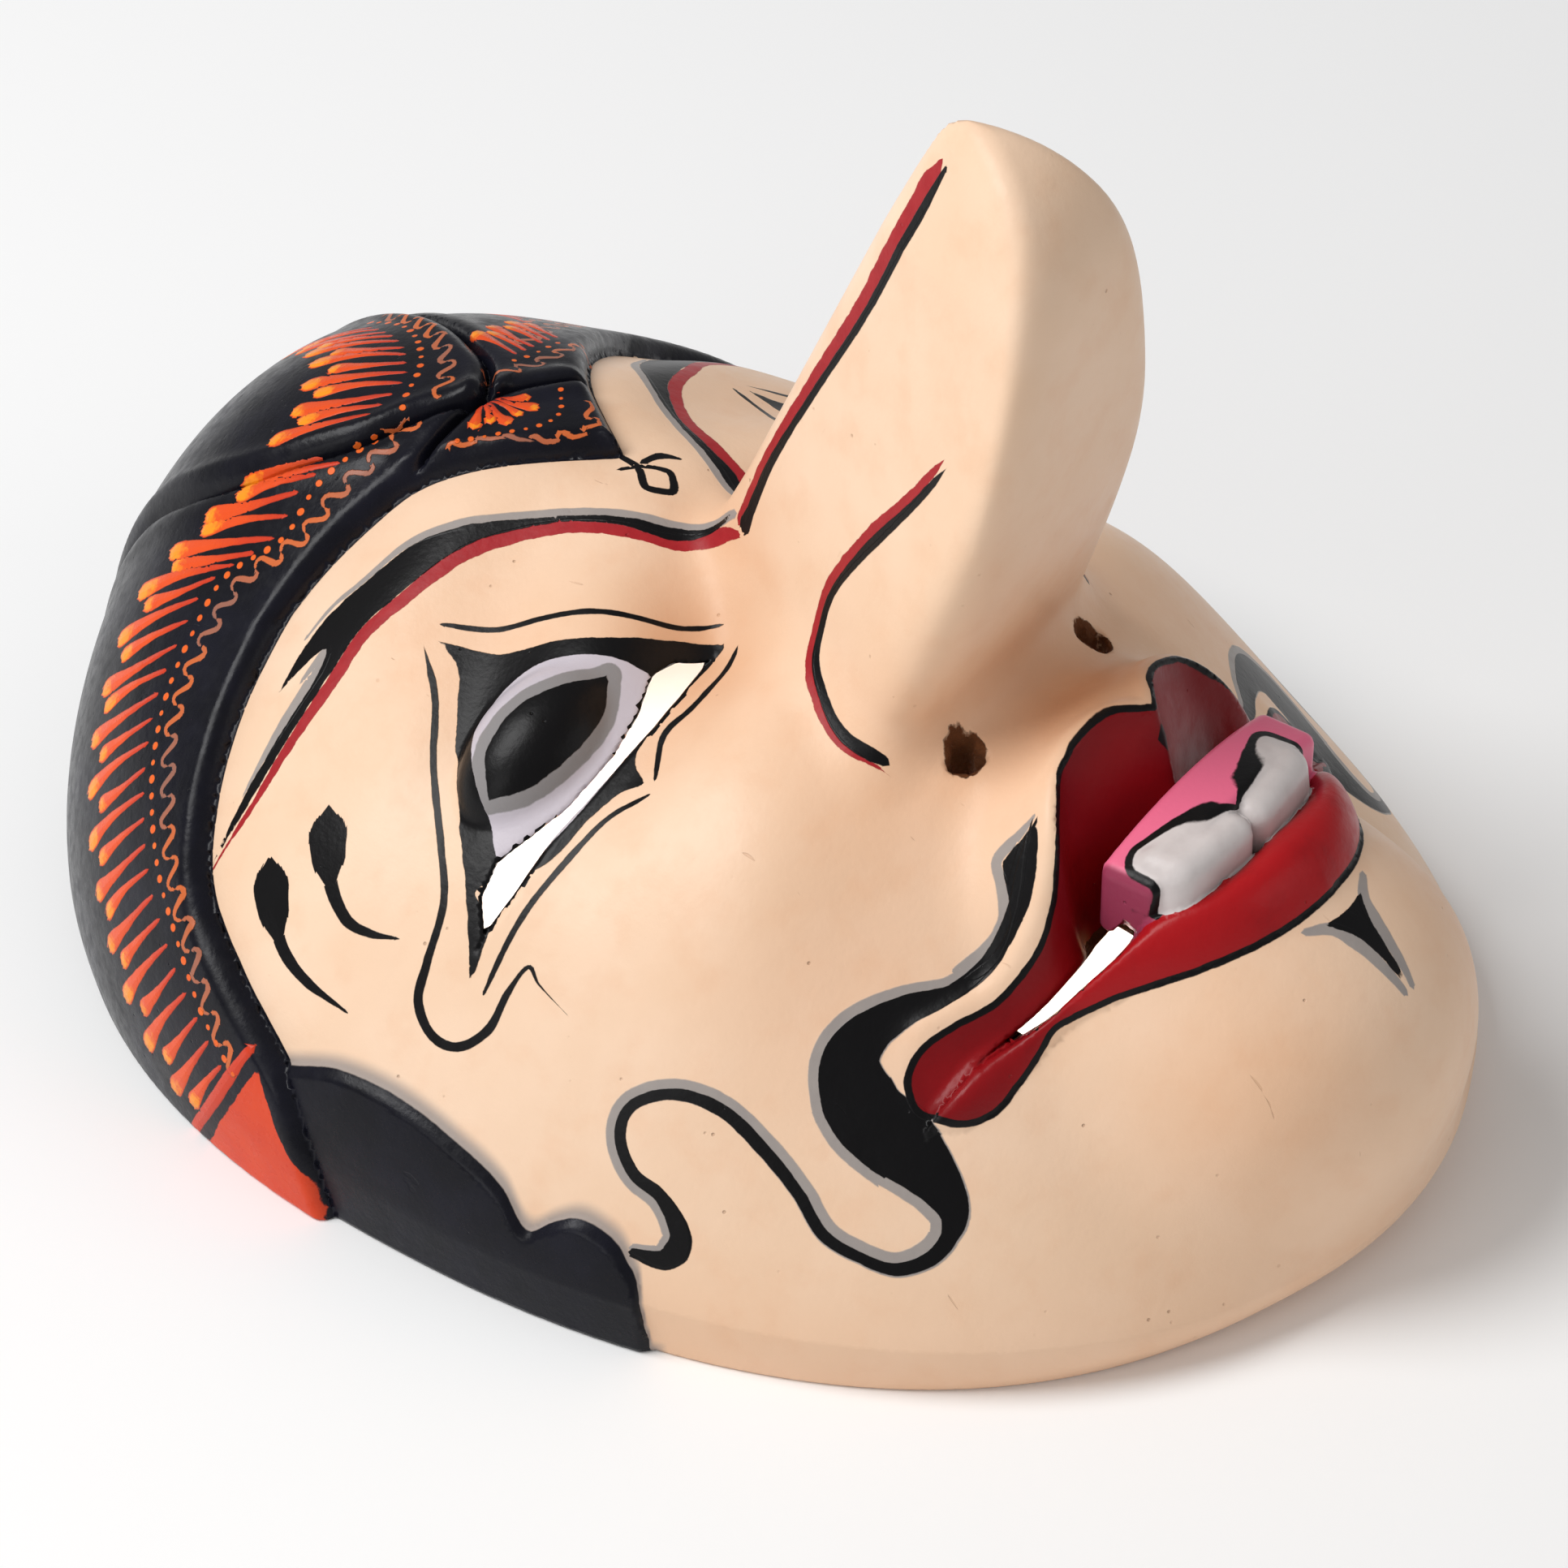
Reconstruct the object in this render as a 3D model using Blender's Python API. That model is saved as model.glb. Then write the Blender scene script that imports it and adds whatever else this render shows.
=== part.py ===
"""Carved wooden folk-theatre mask with a long nose, lying on its rim with the face up.

The mask is one hollow carved block.  +Y points to the crown, +Z out of the face, and the flat rim lies
on z = 0.  The shell is a dome whose level is a sum of powers, carved by soft humps and hollows.  The
nose is lofted from rounded triangular sections, and the eye slits, mouth slits and nostrils are cut.
All driving dimensions are in millimetres and are scaled to metres at the end.
"""
import bpy
import bmesh
import math
import numpy as np

MM = 0.001

# ---- driving dimensions (mm) -------------------------------------------------------------------------
CENTRE_Y = 2.4              # middle of the footprint, brought to the origin
HALF_WIDTH = 77.4           # half the face's width at its widest line
WIDEST_Y = 7.3              # where the face is widest
CROWN_REACH = 95.0          # from the widest line to the crown, under the headscarf
CHIN_REACH = 104.0          # from the widest line to the chin
DOME_HEIGHT = 72.5          # height of the forehead above the rim's plane
SHOULDER_HEIGHT = 8.0       # height at which the side is fullest
WALL = 8.0                  # wood left between face and hollow
DIP_WALL = 5.0              # wood left behind the eye sockets and the mouth
TUCK_CHIN, TUCK_CROWN, TUCK_SIDE = 0.06, 0.065, 0.003    # how far the rim draws in, as a share of size
CLOTH_RISE = 3.2            # how proud the carved headscarf stands
NOSE_ROOT_Z = 54.0
NOSE_TIP_Y, NOSE_TIP_Z = -23.6, 146.4
NOSE_BRIDGE_SLOPE = 0.442   # how far the bridge leans to the chin for each millimetre of height
NOSE_HALF_BASE = 25.0
NOSE_BRIDGE_HALF = 3.4
NOSE_END_Z = 122.0          # where the end of the nose starts to round over
NOSTRIL_X, NOSTRIL_Y, NOSTRIL_RADIUS = 14.6, -37.0, 2.2
EYE_SLIT_WIDTH = 5.0
MOUTH_SLIT_WIDTH = 3.8
CHIN = ((0.0, -76.0, 26.0), (30.0, 25.0, 27.0))          # middle and radii of each swelling
MUZZLE = ((0.0, -60.0, 28.0), (30.0, 27.0, 32.0))
UPPER_LIP = ((0.0, -52.0, 48.0), (27.0, 14.0, 22.0))
EYEBALL = ((40.6, 12.2, 52.6), (16.6, 10.4, 9.6))

AROUND, UPWARD = 88, 38     # facets of the face
HOLLOW_AROUND, HOLLOW_UPWARD = 44, 14
NOSE_AROUND, NOSE_LEVELS = 28, 14


# ---- shape rules ---------------------------------------------------------------------------------------
def ease(t):
    """Smooth step from 0 to 1."""
    t = np.clip(t, 0.0, 1.0)
    return t * t * (3.0 - 2.0 * t)


def blend(a, b, reach):
    """Join two distances with a fillet."""
    h = np.clip(0.5 + 0.5 * (b - a) / reach, 0.0, 1.0)
    return b + (a - b) * h - reach * h * (1.0 - h)


def hump(x, y, centre, radii, turn=0.0):
    """A soft round hump of height 1 at centre, with its long axis turned by turn degrees."""
    a = math.radians(turn)
    u = (x - centre[0]) * math.cos(a) + (y - centre[1]) * math.sin(a)
    v = -(x - centre[0]) * math.sin(a) + (y - centre[1]) * math.cos(a)
    return np.exp(-((u / radii[0]) ** 2 + (v / radii[1]) ** 2))


def egg(x, y, z, centre, radii):
    """Distance to an egg-shaped swelling, below 0 inside it."""
    p = [(v - c) / r for v, c, r in zip((x, y, z), centre, radii)]
    near = np.sqrt(sum(v * v for v in p)) + 1e-9
    steep = np.sqrt(sum((v / r) ** 2 for v, r in zip(p, radii))) + 1e-9
    return near * (near - 1.0) / steep


def dome_level(x, y, z, inset):
    """Below 0 inside the dome, above 0 outside it; inset shrinks the dome for the hollow."""
    from_wide = y - WIDEST_Y
    upper = ease(0.5 + from_wide / 120.0)
    outline_power = 2.15 + 0.05 * upper
    power_across = 2.0 - 0.4 * upper
    power_along = 2.4 + 2.2 * upper
    rise_power = 1.17 + 1.03 * upper
    reach = np.where(from_wide > 0.0, CROWN_REACH, CHIN_REACH) - inset
    across, along = np.abs(x) / (HALF_WIDTH - inset), np.abs(from_wide) / reach
    share = along ** 2 / (along ** 2 + across ** 2 + 1e-6)
    tuck_end = np.where(from_wide > 0.0, TUCK_CROWN, TUCK_CHIN)
    tuck = TUCK_SIDE + (tuck_end - TUCK_SIDE) * share ** 2
    above = z - SHOULDER_HEIGHT
    drawn = 1.0 - tuck * np.clip(-above / SHOULDER_HEIGHT, 0.0, 1.5) ** 2
    gauge = (across ** outline_power + along ** outline_power) ** (1.0 / outline_power) / drawn
    rise = (np.clip(above, 0.0, None) / (DOME_HEIGHT - inset - SHOULDER_HEIGHT)) ** rise_power
    return gauge ** (power_across + (power_along - power_across) * share ** 4) + rise - 1.0


def dome(x, y, z, inset=0.0):
    """Distance to the dome, from its level and how fast the level grows."""
    e = 0.4
    here = dome_level(x, y, z, inset)
    gx = (dome_level(x + e, y, z, inset) - here) / e
    gy = (dome_level(x, y + e, z, inset) - here) / e
    gz = (dome_level(x, y, z + e, inset) - here) / e
    return here / np.maximum(np.sqrt(gx * gx + gy * gy + gz * gz), 0.006)


def cloth_edge(x, z):
    """The y of the headscarf's lower edge: a tongue in the middle, and down the temples to the rim."""
    side = np.abs(x)
    arch = np.where(side < 17.0, 28.5 + 20.0 * side / 17.0, 48.5 + 8.8 * np.sin(0.5 * np.pi * np.clip(
        (side - 17.0) / 27.0, 0.0, 1.0)))
    return arch - 40.0 * ease((52.0 - z) / 62.0) ** 1.25


def lips(side, y):
    """Rise of the rolled lower lip, less the funnel of the open mouth."""
    top = -51.0 - 5.4 * hump(side, 0.0, (0.0, 0.0), (3.0, 1.0)) - 6.2 * hump(side, 0.0, (27.0, 0.0), (9.0, 1.0))
    inner = -73.6 + 17.6 * ease(side / 46.0 + 0.02) + 3.0 * hump(side, 0.0, (27.0, 0.0), (14.0, 1.0))
    fade = ease((47.5 - side) / 8.0)
    funnel = 8.5 * (1.0 - (1.0 - np.clip((top - y) / 8.0, 0.0, 1.0)) ** 1.8)
    funnel *= ease((y - inner) / 2.2) * (0.25 + 0.75 * fade)
    across = np.clip((inner - y) / np.clip(9.6 - 0.09 * side, 1.0, None), 0.0, 1.0)
    return 3.4 * np.sin(math.pi * across) ** 0.75 * fade - funnel


def skin(x, y, z):
    """Distance to the face without its nose: dome, swellings and soft dips."""
    side = np.sqrt(x * x + 1.0)
    rise = 1.5 * hump(side, y, (30.0, 42.0), (24.0, 7.0), 8.0)         # brow
    rise -= 4.5 * hump(side, y, (27.0, -1.0), (22.0, 8.0), 6.0)        # hollow under the eye
    rise -= 4.5 * hump(side, y, (15.0, 3.0), (9.0, 9.0))               # inner corner of the eye
    rise -= 2.0 * hump(side, y, (40.0, 22.0), (18.0, 7.0), -18.0)      # socket above the eye
    rise += 2.5 * hump(side, y, (42.0, -24.0), (16.0, 12.0))           # cheek
    rise -= 3.5 * hump(side, y, (0.0, 9.0), (13.0, 9.0))               # root of the nose
    f = dome(x, y, z) - rise * ease((z - 10.0) / 15.0)
    f = blend(f, egg(x, y, z, *CHIN), 9.0)
    f = blend(f, egg(x, y, z, *MUZZLE), 9.0)
    return blend(f, egg(x, y, z, *UPPER_LIP), 7.0)


def face(x, y, z):
    """Distance to the carved face: skin, eyeballs, lips, headscarf and sideburns."""
    side = np.abs(x)
    f = skin(x, y, z)
    f = blend(f, egg(side, y, z, *EYEBALL), 1.5)
    f = f - np.where((y < -44.0) & (z > 24.0), lips(side, y), 0.0)
    cloth = ease((y - cloth_edge(x, z)) / 2.6)
    fold = 1.6 * hump(x, y, (-14.0, 62.0), (24.0, 1.8), -58.0)         # folds of the cloth
    fold += 1.6 * hump(x, y, (7.0, 62.0), (15.0, 1.8), 62.0)
    sideburn = ease((side - 71.0) / 3.0) * ease((14.0 - y) / 5.0) * ease((y + 30.0) / 4.0)
    sideburn *= ease((22.0 - z) / 4.0) * (1.0 - cloth)
    return f - cloth * (CLOTH_RISE - fold) - 1.1 * sideburn


def hollow(x, y, z):
    """Distance to the hollow, which keeps a wall behind every dip of the face."""
    return np.maximum(dome(x, y, z, WALL), skin(x, y, z) + DIP_WALL)


# ---- mesh builders --------------------------------------------------------------------------------------
def new_object(name, verts, faces):
    """A mesh object from points in millimetres and faces, with outward normals."""
    mesh = bpy.data.meshes.new(name)
    mesh.from_pydata([(float(x) * MM, (float(y) - CENTRE_Y) * MM, float(z) * MM) for x, y, z in verts], [], faces)
    mesh.update()
    bm = bmesh.new()
    bm.from_mesh(mesh)
    bmesh.ops.recalc_face_normals(bm, faces=bm.faces)
    bm.to_mesh(mesh)
    bm.free()
    obj = bpy.data.objects.new(name, mesh)
    bpy.context.scene.collection.objects.link(obj)
    return obj


def dome_solid(name, around, upward, foot_z, rule):
    """A closed dome: rays from the middle of the base meet the surface that the rule gives."""
    turn = np.linspace(0.0, 2.0 * math.pi, around, endpoint=False)
    lift = 0.5 * math.pi * np.linspace(0.0, 1.0, upward + 1)[:-1] ** 1.05
    turn, lift = np.meshgrid(turn, lift)
    way = np.stack([np.cos(lift) * np.cos(turn), np.cos(lift) * np.sin(turn), np.sin(lift)], -1)
    way = np.concatenate([way.reshape(-1, 3), [[0.0, 0.0, 1.0]]])
    near, far = np.zeros(len(way)), np.full(len(way), 160.0)
    for _ in range(40):
        middle = 0.5 * (near + far)
        p = way * middle[:, None]
        outside = rule(p[:, 0], p[:, 1], p[:, 2]) > 0.0
        far = np.where(outside, middle, far)
        near = np.where(outside, near, middle)
    p = way * far[:, None]
    p = [tuple(v) for v in p]
    faces = []
    for i in range(upward - 1):
        for j in range(around):
            k = (j + 1) % around
            faces.append((i * around + j, i * around + k, (i + 1) * around + k, (i + 1) * around + j))
    top = upward * around
    for j in range(around):
        faces.append(((upward - 1) * around + j, (upward - 1) * around + (j + 1) % around, top))
    if foot_z < 0.0:
        base = len(p)
        p += [(v[0], v[1], foot_z) for v in p[:around]]
        for j in range(around):
            k = (j + 1) % around
            faces.append((base + j, base + k, k, j))
        faces.append(tuple(range(base, base + around)))
    else:
        faces.append(tuple(range(around)))
    return new_object(name, p, faces)


def nose_section(z):
    """Bridge y, base y, and half-widths of bridge and base of the nose at height z."""
    end = max(0.0, (z - NOSE_END_Z) / (NOSE_TIP_Z - NOSE_END_Z))
    round_over = math.sqrt(max(0.0, 1.0 - end ** 2.6))
    bridge_y = NOSE_TIP_Y + NOSE_BRIDGE_SLOPE * (NOSE_TIP_Z - z)
    below = max(0.0, NOSE_END_Z - z) / 32.2
    base_y = -44.0 + 5.2 * below ** 1.6 + (NOSE_TIP_Y + 44.0) * (1.0 - round_over)
    half_base = (NOSE_HALF_BASE - 11.0 * (max(0.0, z - 60.0) / 66.0) ** 1.35) * round_over
    return bridge_y, base_y, NOSE_BRIDGE_HALF * round_over, half_base


def nose_solid():
    """The nose, lofted from rounded triangles, with its end rounding over from the tip to the base."""
    verts, faces = [], []
    for i in range(NOSE_LEVELS):
        level = i / NOSE_LEVELS
        z = NOSE_ROOT_Z + (NOSE_TIP_Z - NOSE_ROOT_Z) * (1.0 - (1.0 - level) ** 1.6)
        bridge_y, base_y, half_bridge, half_base = nose_section(z)
        for j in range(NOSE_AROUND):
            a = 2.0 * math.pi * (j + 0.5) / NOSE_AROUND
            up = 0.5 + 0.5 * math.copysign(abs(math.sin(a)) ** 0.62, math.sin(a))
            half = half_base + (half_bridge - half_base) * up
            x = half * math.copysign(abs(math.cos(a)) ** 0.5, math.cos(a))
            verts.append((x, base_y + (bridge_y - base_y) * up, z))
    verts.append((0.0, NOSE_TIP_Y, NOSE_TIP_Z))
    for i in range(NOSE_LEVELS - 1):
        for j in range(NOSE_AROUND):
            k = (j + 1) % NOSE_AROUND
            a, b = i * NOSE_AROUND, (i + 1) * NOSE_AROUND
            faces.append((a + j, a + k, b + k, b + j))
    faces.append(tuple(range(NOSE_AROUND)))
    last = (NOSE_LEVELS - 1) * NOSE_AROUND
    for j in range(NOSE_AROUND):
        faces.append((last + j, last + (j + 1) % NOSE_AROUND, len(verts) - 1))
    return new_object("nose", verts, faces)


def ribbon_cutter(name, path, width, low, high):
    """An upright closed band that follows a path in x and y, widest in the middle."""
    count = 14
    left, right = [], []
    for i in range(count):
        t = i / (count - 1)
        here, ahead = curve_point(path, t), curve_point(path, min(1.0, t + 0.01))
        back = curve_point(path, max(0.0, t - 0.01))
        dx, dy = ahead[0] - back[0], ahead[1] - back[1]
        size = math.hypot(dx, dy)
        half = 0.5 * width * (0.28 + 0.72 * math.sin(math.pi * t) ** 0.6)
        left.append((here[0] - dy / size * half, here[1] + dx / size * half))
        right.append((here[0] + dy / size * half, here[1] - dx / size * half))
    ring = left + right[::-1]
    n = len(ring)
    verts = [(x, y, low) for x, y in ring] + [(x, y, high) for x, y in ring]
    faces = [(i, (i + 1) % n, n + (i + 1) % n, n + i) for i in range(n)]
    faces.append(tuple(range(n)))
    faces.append(tuple(range(n, 2 * n)))
    return new_object(name, verts, faces)


def curve_point(path, t):
    """A point on the Bezier curve through its control points."""
    points = [np.array(p, float) for p in path]
    while len(points) > 1:
        points = [a + (b - a) * t for a, b in zip(points, points[1:])]
    return points[0]


def mirrored(path):
    """The same path on the other side of the face."""
    return [(-x, y) for x, y in path]


def post(name, x, y, radius, low, high, sides=10):
    """An upright round cutter."""
    ring = [(x + radius * math.cos(2 * math.pi * i / sides), y + radius * math.sin(2 * math.pi * i / sides))
            for i in range(sides)]
    verts = [(a, b, low) for a, b in ring] + [(a, b, high) for a, b in ring]
    faces = [(i, (i + 1) % sides, sides + (i + 1) % sides, sides + i) for i in range(sides)]
    faces += [tuple(range(sides)), tuple(range(sides, 2 * sides))]
    return new_object(name, verts, faces)


def tooth(name, x, width):
    """A front tooth: a cube with its edges bevelled, set in the open mouth."""
    bm = bmesh.new()
    bmesh.ops.create_cube(bm, size=1.0)
    bmesh.ops.scale(bm, vec=(width, 10.0, 9.0), verts=bm.verts)
    bmesh.ops.bevel(bm, geom=bm.edges[:], offset=2.2, segments=2, affect="EDGES", profile=0.6)
    bmesh.ops.translate(bm, vec=(x, -66.6 - CENTRE_Y, 58.0 - 0.02 * x * x), verts=bm.verts)
    bmesh.ops.scale(bm, vec=(MM, MM, MM), verts=bm.verts)
    mesh = bpy.data.meshes.new(name)
    bm.to_mesh(mesh)
    bm.free()
    obj = bpy.data.objects.new(name, mesh)
    bpy.context.scene.collection.objects.link(obj)
    return obj


def combine(target, other, operation):
    """Apply an exact Boolean and leave the other object behind as a hidden wire guide."""
    mod = target.modifiers.new(operation.lower() + "_" + other.name, "BOOLEAN")
    mod.operation = operation
    mod.solver = "EXACT"
    mod.object = other
    bpy.context.view_layer.update()
    shape = bpy.data.meshes.new_from_object(target.evaluated_get(bpy.context.evaluated_depsgraph_get()))
    target.modifiers.remove(mod)
    target.data = shape
    other.hide_render = True
    other.display_type = "WIRE"


def paint(obj, name, rgb, roughness):
    """Give the object its own material."""
    mat = bpy.data.materials.new(name)
    mat.use_nodes = True
    shader = mat.node_tree.nodes["Principled BSDF"]
    shader.inputs["Base Color"].default_value = (rgb[0], rgb[1], rgb[2], 1.0)
    shader.inputs["Roughness"].default_value = roughness
    shader.inputs["Metallic"].default_value = 0.0
    obj.data.materials.clear()
    obj.data.materials.append(mat)


# ---- build ----------------------------------------------------------------------------------------------
def main():
    for old in list(bpy.data.objects):
        bpy.data.objects.remove(old, do_unlink=True)
    mask = dome_solid("carved_mask", AROUND, UPWARD, 0.0, face)
    combine(mask, nose_solid(), "UNION")
    for index, (x, width) in enumerate(((-8.0, 15.6), (8.0, 15.6))):
        combine(mask, tooth("tooth_%d" % index, x, width), "UNION")
    combine(mask, dome_solid("hollow", HOLLOW_AROUND, HOLLOW_UPWARD, -6.0, hollow), "DIFFERENCE")
    eye_path = [(17.0, 4.0), (32.0, 1.6), (46.0, 0.8), (62.0, 8.0)]
    mouth_path = [(18.0, -66.0), (26.0, -59.6), (33.0, -57.0), (40.0, -55.0)]
    for tag, change in (("left", list), ("right", mirrored)):
        slit = ribbon_cutter("eye_slit_" + tag, change(eye_path), EYE_SLIT_WIDTH, 20.0, 84.0)
        combine(mask, slit, "DIFFERENCE")
        slit = ribbon_cutter("mouth_slit_" + tag, change(mouth_path), MOUTH_SLIT_WIDTH, 16.0, 78.0)
        combine(mask, slit, "DIFFERENCE")
    for tag, x in (("left", NOSTRIL_X), ("right", -NOSTRIL_X)):
        drill = post("nostril_" + tag, x, NOSTRIL_Y, NOSTRIL_RADIUS, 30.0, 72.0)
        combine(mask, drill, "DIFFERENCE")
    mask.data.shade_smooth()
    mask.data.set_sharp_from_angle(angle=math.radians(40.0))
    paint(mask, "painted_wood", (0.85, 0.66, 0.48), 0.4)


if __name__ == "__main__":
    main()
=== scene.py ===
"""Looks for a carved and painted wooden theatre mask with a long nose.

The mask is carved as one signed-distance shape in millimetres: a keeled dome, egg-shaped swellings, a
lofted nose, cut slits and the relief of a headscarf.  A fine mesh is netted over that shape and pulled
onto it.  The painting is kept as distances to drawn strokes and outlines, stored on the mesh, so each
brush edge stays crisp.
"""
import logging
import math
from dataclasses import dataclass, field
from enum import Enum
from typing import Callable, Dict, List, Sequence, Tuple

import bpy
import numpy as np
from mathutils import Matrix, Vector


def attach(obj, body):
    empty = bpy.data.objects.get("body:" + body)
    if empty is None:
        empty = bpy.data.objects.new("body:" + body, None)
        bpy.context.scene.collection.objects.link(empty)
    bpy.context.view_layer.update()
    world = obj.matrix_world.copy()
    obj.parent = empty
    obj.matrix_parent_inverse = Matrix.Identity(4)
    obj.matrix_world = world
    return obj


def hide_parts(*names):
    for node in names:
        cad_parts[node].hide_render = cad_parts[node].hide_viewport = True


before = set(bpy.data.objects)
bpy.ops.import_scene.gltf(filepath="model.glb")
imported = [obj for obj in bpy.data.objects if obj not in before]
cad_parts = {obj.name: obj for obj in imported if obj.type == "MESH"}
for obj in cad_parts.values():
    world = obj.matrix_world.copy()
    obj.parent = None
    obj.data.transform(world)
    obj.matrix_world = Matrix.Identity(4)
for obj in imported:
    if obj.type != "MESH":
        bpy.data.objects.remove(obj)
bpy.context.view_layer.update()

LOG = logging.getLogger("mask")
Array = np.ndarray
Point = Tuple[float, float, float]
MM = 0.001
MASK_NODE = "carved_mask"
CENTRE_Y = 2.4              # middle of the footprint in the carver's frame, brought to the origin


# ---- small numeric helpers -------------------------------------------------------------------------
def ease(t: Array) -> Array:
    """Smooth step from 0 to 1."""
    t = np.clip(t, 0.0, 1.0)
    return t * t * (3.0 - 2.0 * t)


def blend_min(a: Array, b: Array, reach: float) -> Array:
    """Join two distances with a fillet.

    Args:
        a: first distance.
        b: second distance.
        reach: size of the fillet in millimetres.

    Returns:
        The joined distance.
    """
    h = np.clip(0.5 + 0.5 * (b - a) / reach, 0.0, 1.0)
    return b + (a - b) * h - reach * h * (1.0 - h)


def blend_max(a: Array, b: Array, reach: float) -> Array:
    """Cut one distance by another with a rounded edge."""
    return -blend_min(-a, -b, reach)


def read_profile(at: Array, knots: Sequence[Tuple[float, float]]) -> Array:
    """Read a smooth profile that passes through a few knots.

    Args:
        at: places to read.
        knots: (place, value) pairs in rising order.

    Returns:
        The values, cubic between the knots and constant outside them.
    """
    xs = np.array([k[0] for k in knots], float)
    ys = np.array([k[1] for k in knots], float)
    slopes = np.gradient(ys, xs)
    at = np.clip(at, xs[0], xs[-1])
    i = np.clip(np.searchsorted(xs, at, side="right") - 1, 0, len(xs) - 2)
    h = xs[i + 1] - xs[i]
    t = (at - xs[i]) / h
    t2, t3 = t * t, t * t * t
    return ((2 * t3 - 3 * t2 + 1) * ys[i] + (t3 - 2 * t2 + t) * h * slopes[i]
            + (3 * t2 - 2 * t3) * ys[i + 1] + (t3 - t2) * h * slopes[i + 1])


def smooth_path(points: Sequence[Point], step: float) -> Array:
    """Run a smooth curve through a few points.

    Args:
        points: the points in order, millimetres.
        step: distance between the samples.

    Returns:
        An (N, 3) array of evenly spaced samples.
    """
    p = np.array(points, float)
    if len(p) == 2:
        dense = p[0] + (p[1] - p[0]) * np.linspace(0.0, 1.0, 24)[:, None]
    else:
        q = np.vstack([2 * p[0] - p[1], p, 2 * p[-1] - p[-2]])
        t = np.linspace(0.0, 1.0, 17)[:-1, None]
        runs = []
        for a, b, c, d in zip(q, q[1:], q[2:], q[3:]):
            runs.append(0.5 * (2 * b + (c - a) * t + (2 * a - 5 * b + 4 * c - d) * t ** 2
                               + (3 * b - 3 * c + d - a) * t ** 3))
        dense = np.vstack(runs + [p[-1:]])
    run = np.concatenate([[0.0], np.cumsum(np.linalg.norm(np.diff(dense, axis=0), axis=1))])
    count = max(3, int(round(run[-1] / step)) + 1)
    at = np.linspace(0.0, run[-1], count)
    return np.stack([np.interp(at, run, dense[:, k]) for k in range(3)], -1)


# ---- carved shape ------------------------------------------------------------------------------------
@dataclass(frozen=True)
class Dome:
    """The keeled shell of the face."""

    half_width: float = 77.4
    widest_y: float = 7.3
    crown_reach: float = 95.0
    chin_reach: float = 104.0
    height: float = 72.5
    shoulder: float = 8.0
    tuck_chin: float = 0.06
    tuck_crown: float = 0.065
    tuck_side: float = 0.003

    def level(self, x: Array, y: Array, z: Array, inset: float) -> Array:
        """Level of the dome, below 0 inside it.

        Args:
            x: across.
            y: towards the crown.
            z: out of the face.
            inset: how much smaller the dome is on every side.

        Returns:
            The level.
        """
        from_wide = y - self.widest_y
        upper = ease(0.5 + from_wide / 120.0)
        outline = 2.15 + 0.05 * upper
        across_power = 2.0 - 0.4 * upper
        along_power = 2.4 + 2.2 * upper
        rise_power = 1.17 + 1.03 * upper
        reach = np.where(from_wide > 0.0, self.crown_reach, self.chin_reach) - inset
        across = np.abs(x) / (self.half_width - inset)
        along = np.abs(from_wide) / reach
        share = along ** 2 / (along ** 2 + across ** 2 + 1e-6)
        tuck_end = np.where(from_wide > 0.0, self.tuck_crown, self.tuck_chin)
        tuck = self.tuck_side + (tuck_end - self.tuck_side) * share ** 2
        above = z - self.shoulder
        drawn = 1.0 - tuck * np.clip(-above / self.shoulder, 0.0, 1.5) ** 2
        gauge = (across ** outline + along ** outline) ** (1.0 / outline) / drawn
        rise = (np.clip(above, 0.0, None) / (self.height - inset - self.shoulder)) ** rise_power
        return gauge ** (across_power + (along_power - across_power) * share ** 4) + rise - 1.0

    def distance(self, x: Array, y: Array, z: Array, inset: float = 0.0) -> Array:
        """Near-true distance to the dome, below 0 inside it.

        Args:
            x: across, millimetres.
            y: towards the crown.
            z: up.
            inset: how far inside the outer dome.

        Returns:
            The distance, below 0 inside.
        """
        e = 0.4
        here = self.level(x, y, z, inset)
        gx = (self.level(x + e, y, z, inset) - here) / e
        gy = (self.level(x, y + e, z, inset) - here) / e
        gz = (self.level(x, y, z + e, inset) - here) / e
        return here / np.maximum(np.sqrt(gx * gx + gy * gy + gz * gz), 0.006)


@dataclass(frozen=True)
class Egg:
    """An egg-shaped swelling, with its long axis and its outward axis."""

    centre: Point
    radii: Point
    along: Point = (1.0, 0.0, 0.0)
    outward: Point = (0.0, 0.0, 1.0)

    def distance(self, x: Array, y: Array, z: Array) -> Array:
        """Near-true distance to the egg.

        Args:
            x: across, millimetres.
            y: towards the crown.
            z: up.

        Returns:
            The distance, below 0 inside.
        """
        third = np.array(self.outward, float)
        third /= np.linalg.norm(third)
        first = np.array(self.along, float)
        first -= third * (first @ third)
        first /= np.linalg.norm(first)
        second = np.cross(third, first)
        u, v, w = x - self.centre[0], y - self.centre[1], z - self.centre[2]
        parts = []
        for axis, radius in zip((first, second, third), self.radii):
            parts.append(((u * axis[0] + v * axis[1] + w * axis[2]) / radius, radius))
        k0 = np.sqrt(sum(p * p for p, _ in parts)) + 1e-9
        k1 = np.sqrt(sum((p / r) ** 2 for p, r in parts)) + 1e-9
        return k0 * (k0 - 1.0) / k1


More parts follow.
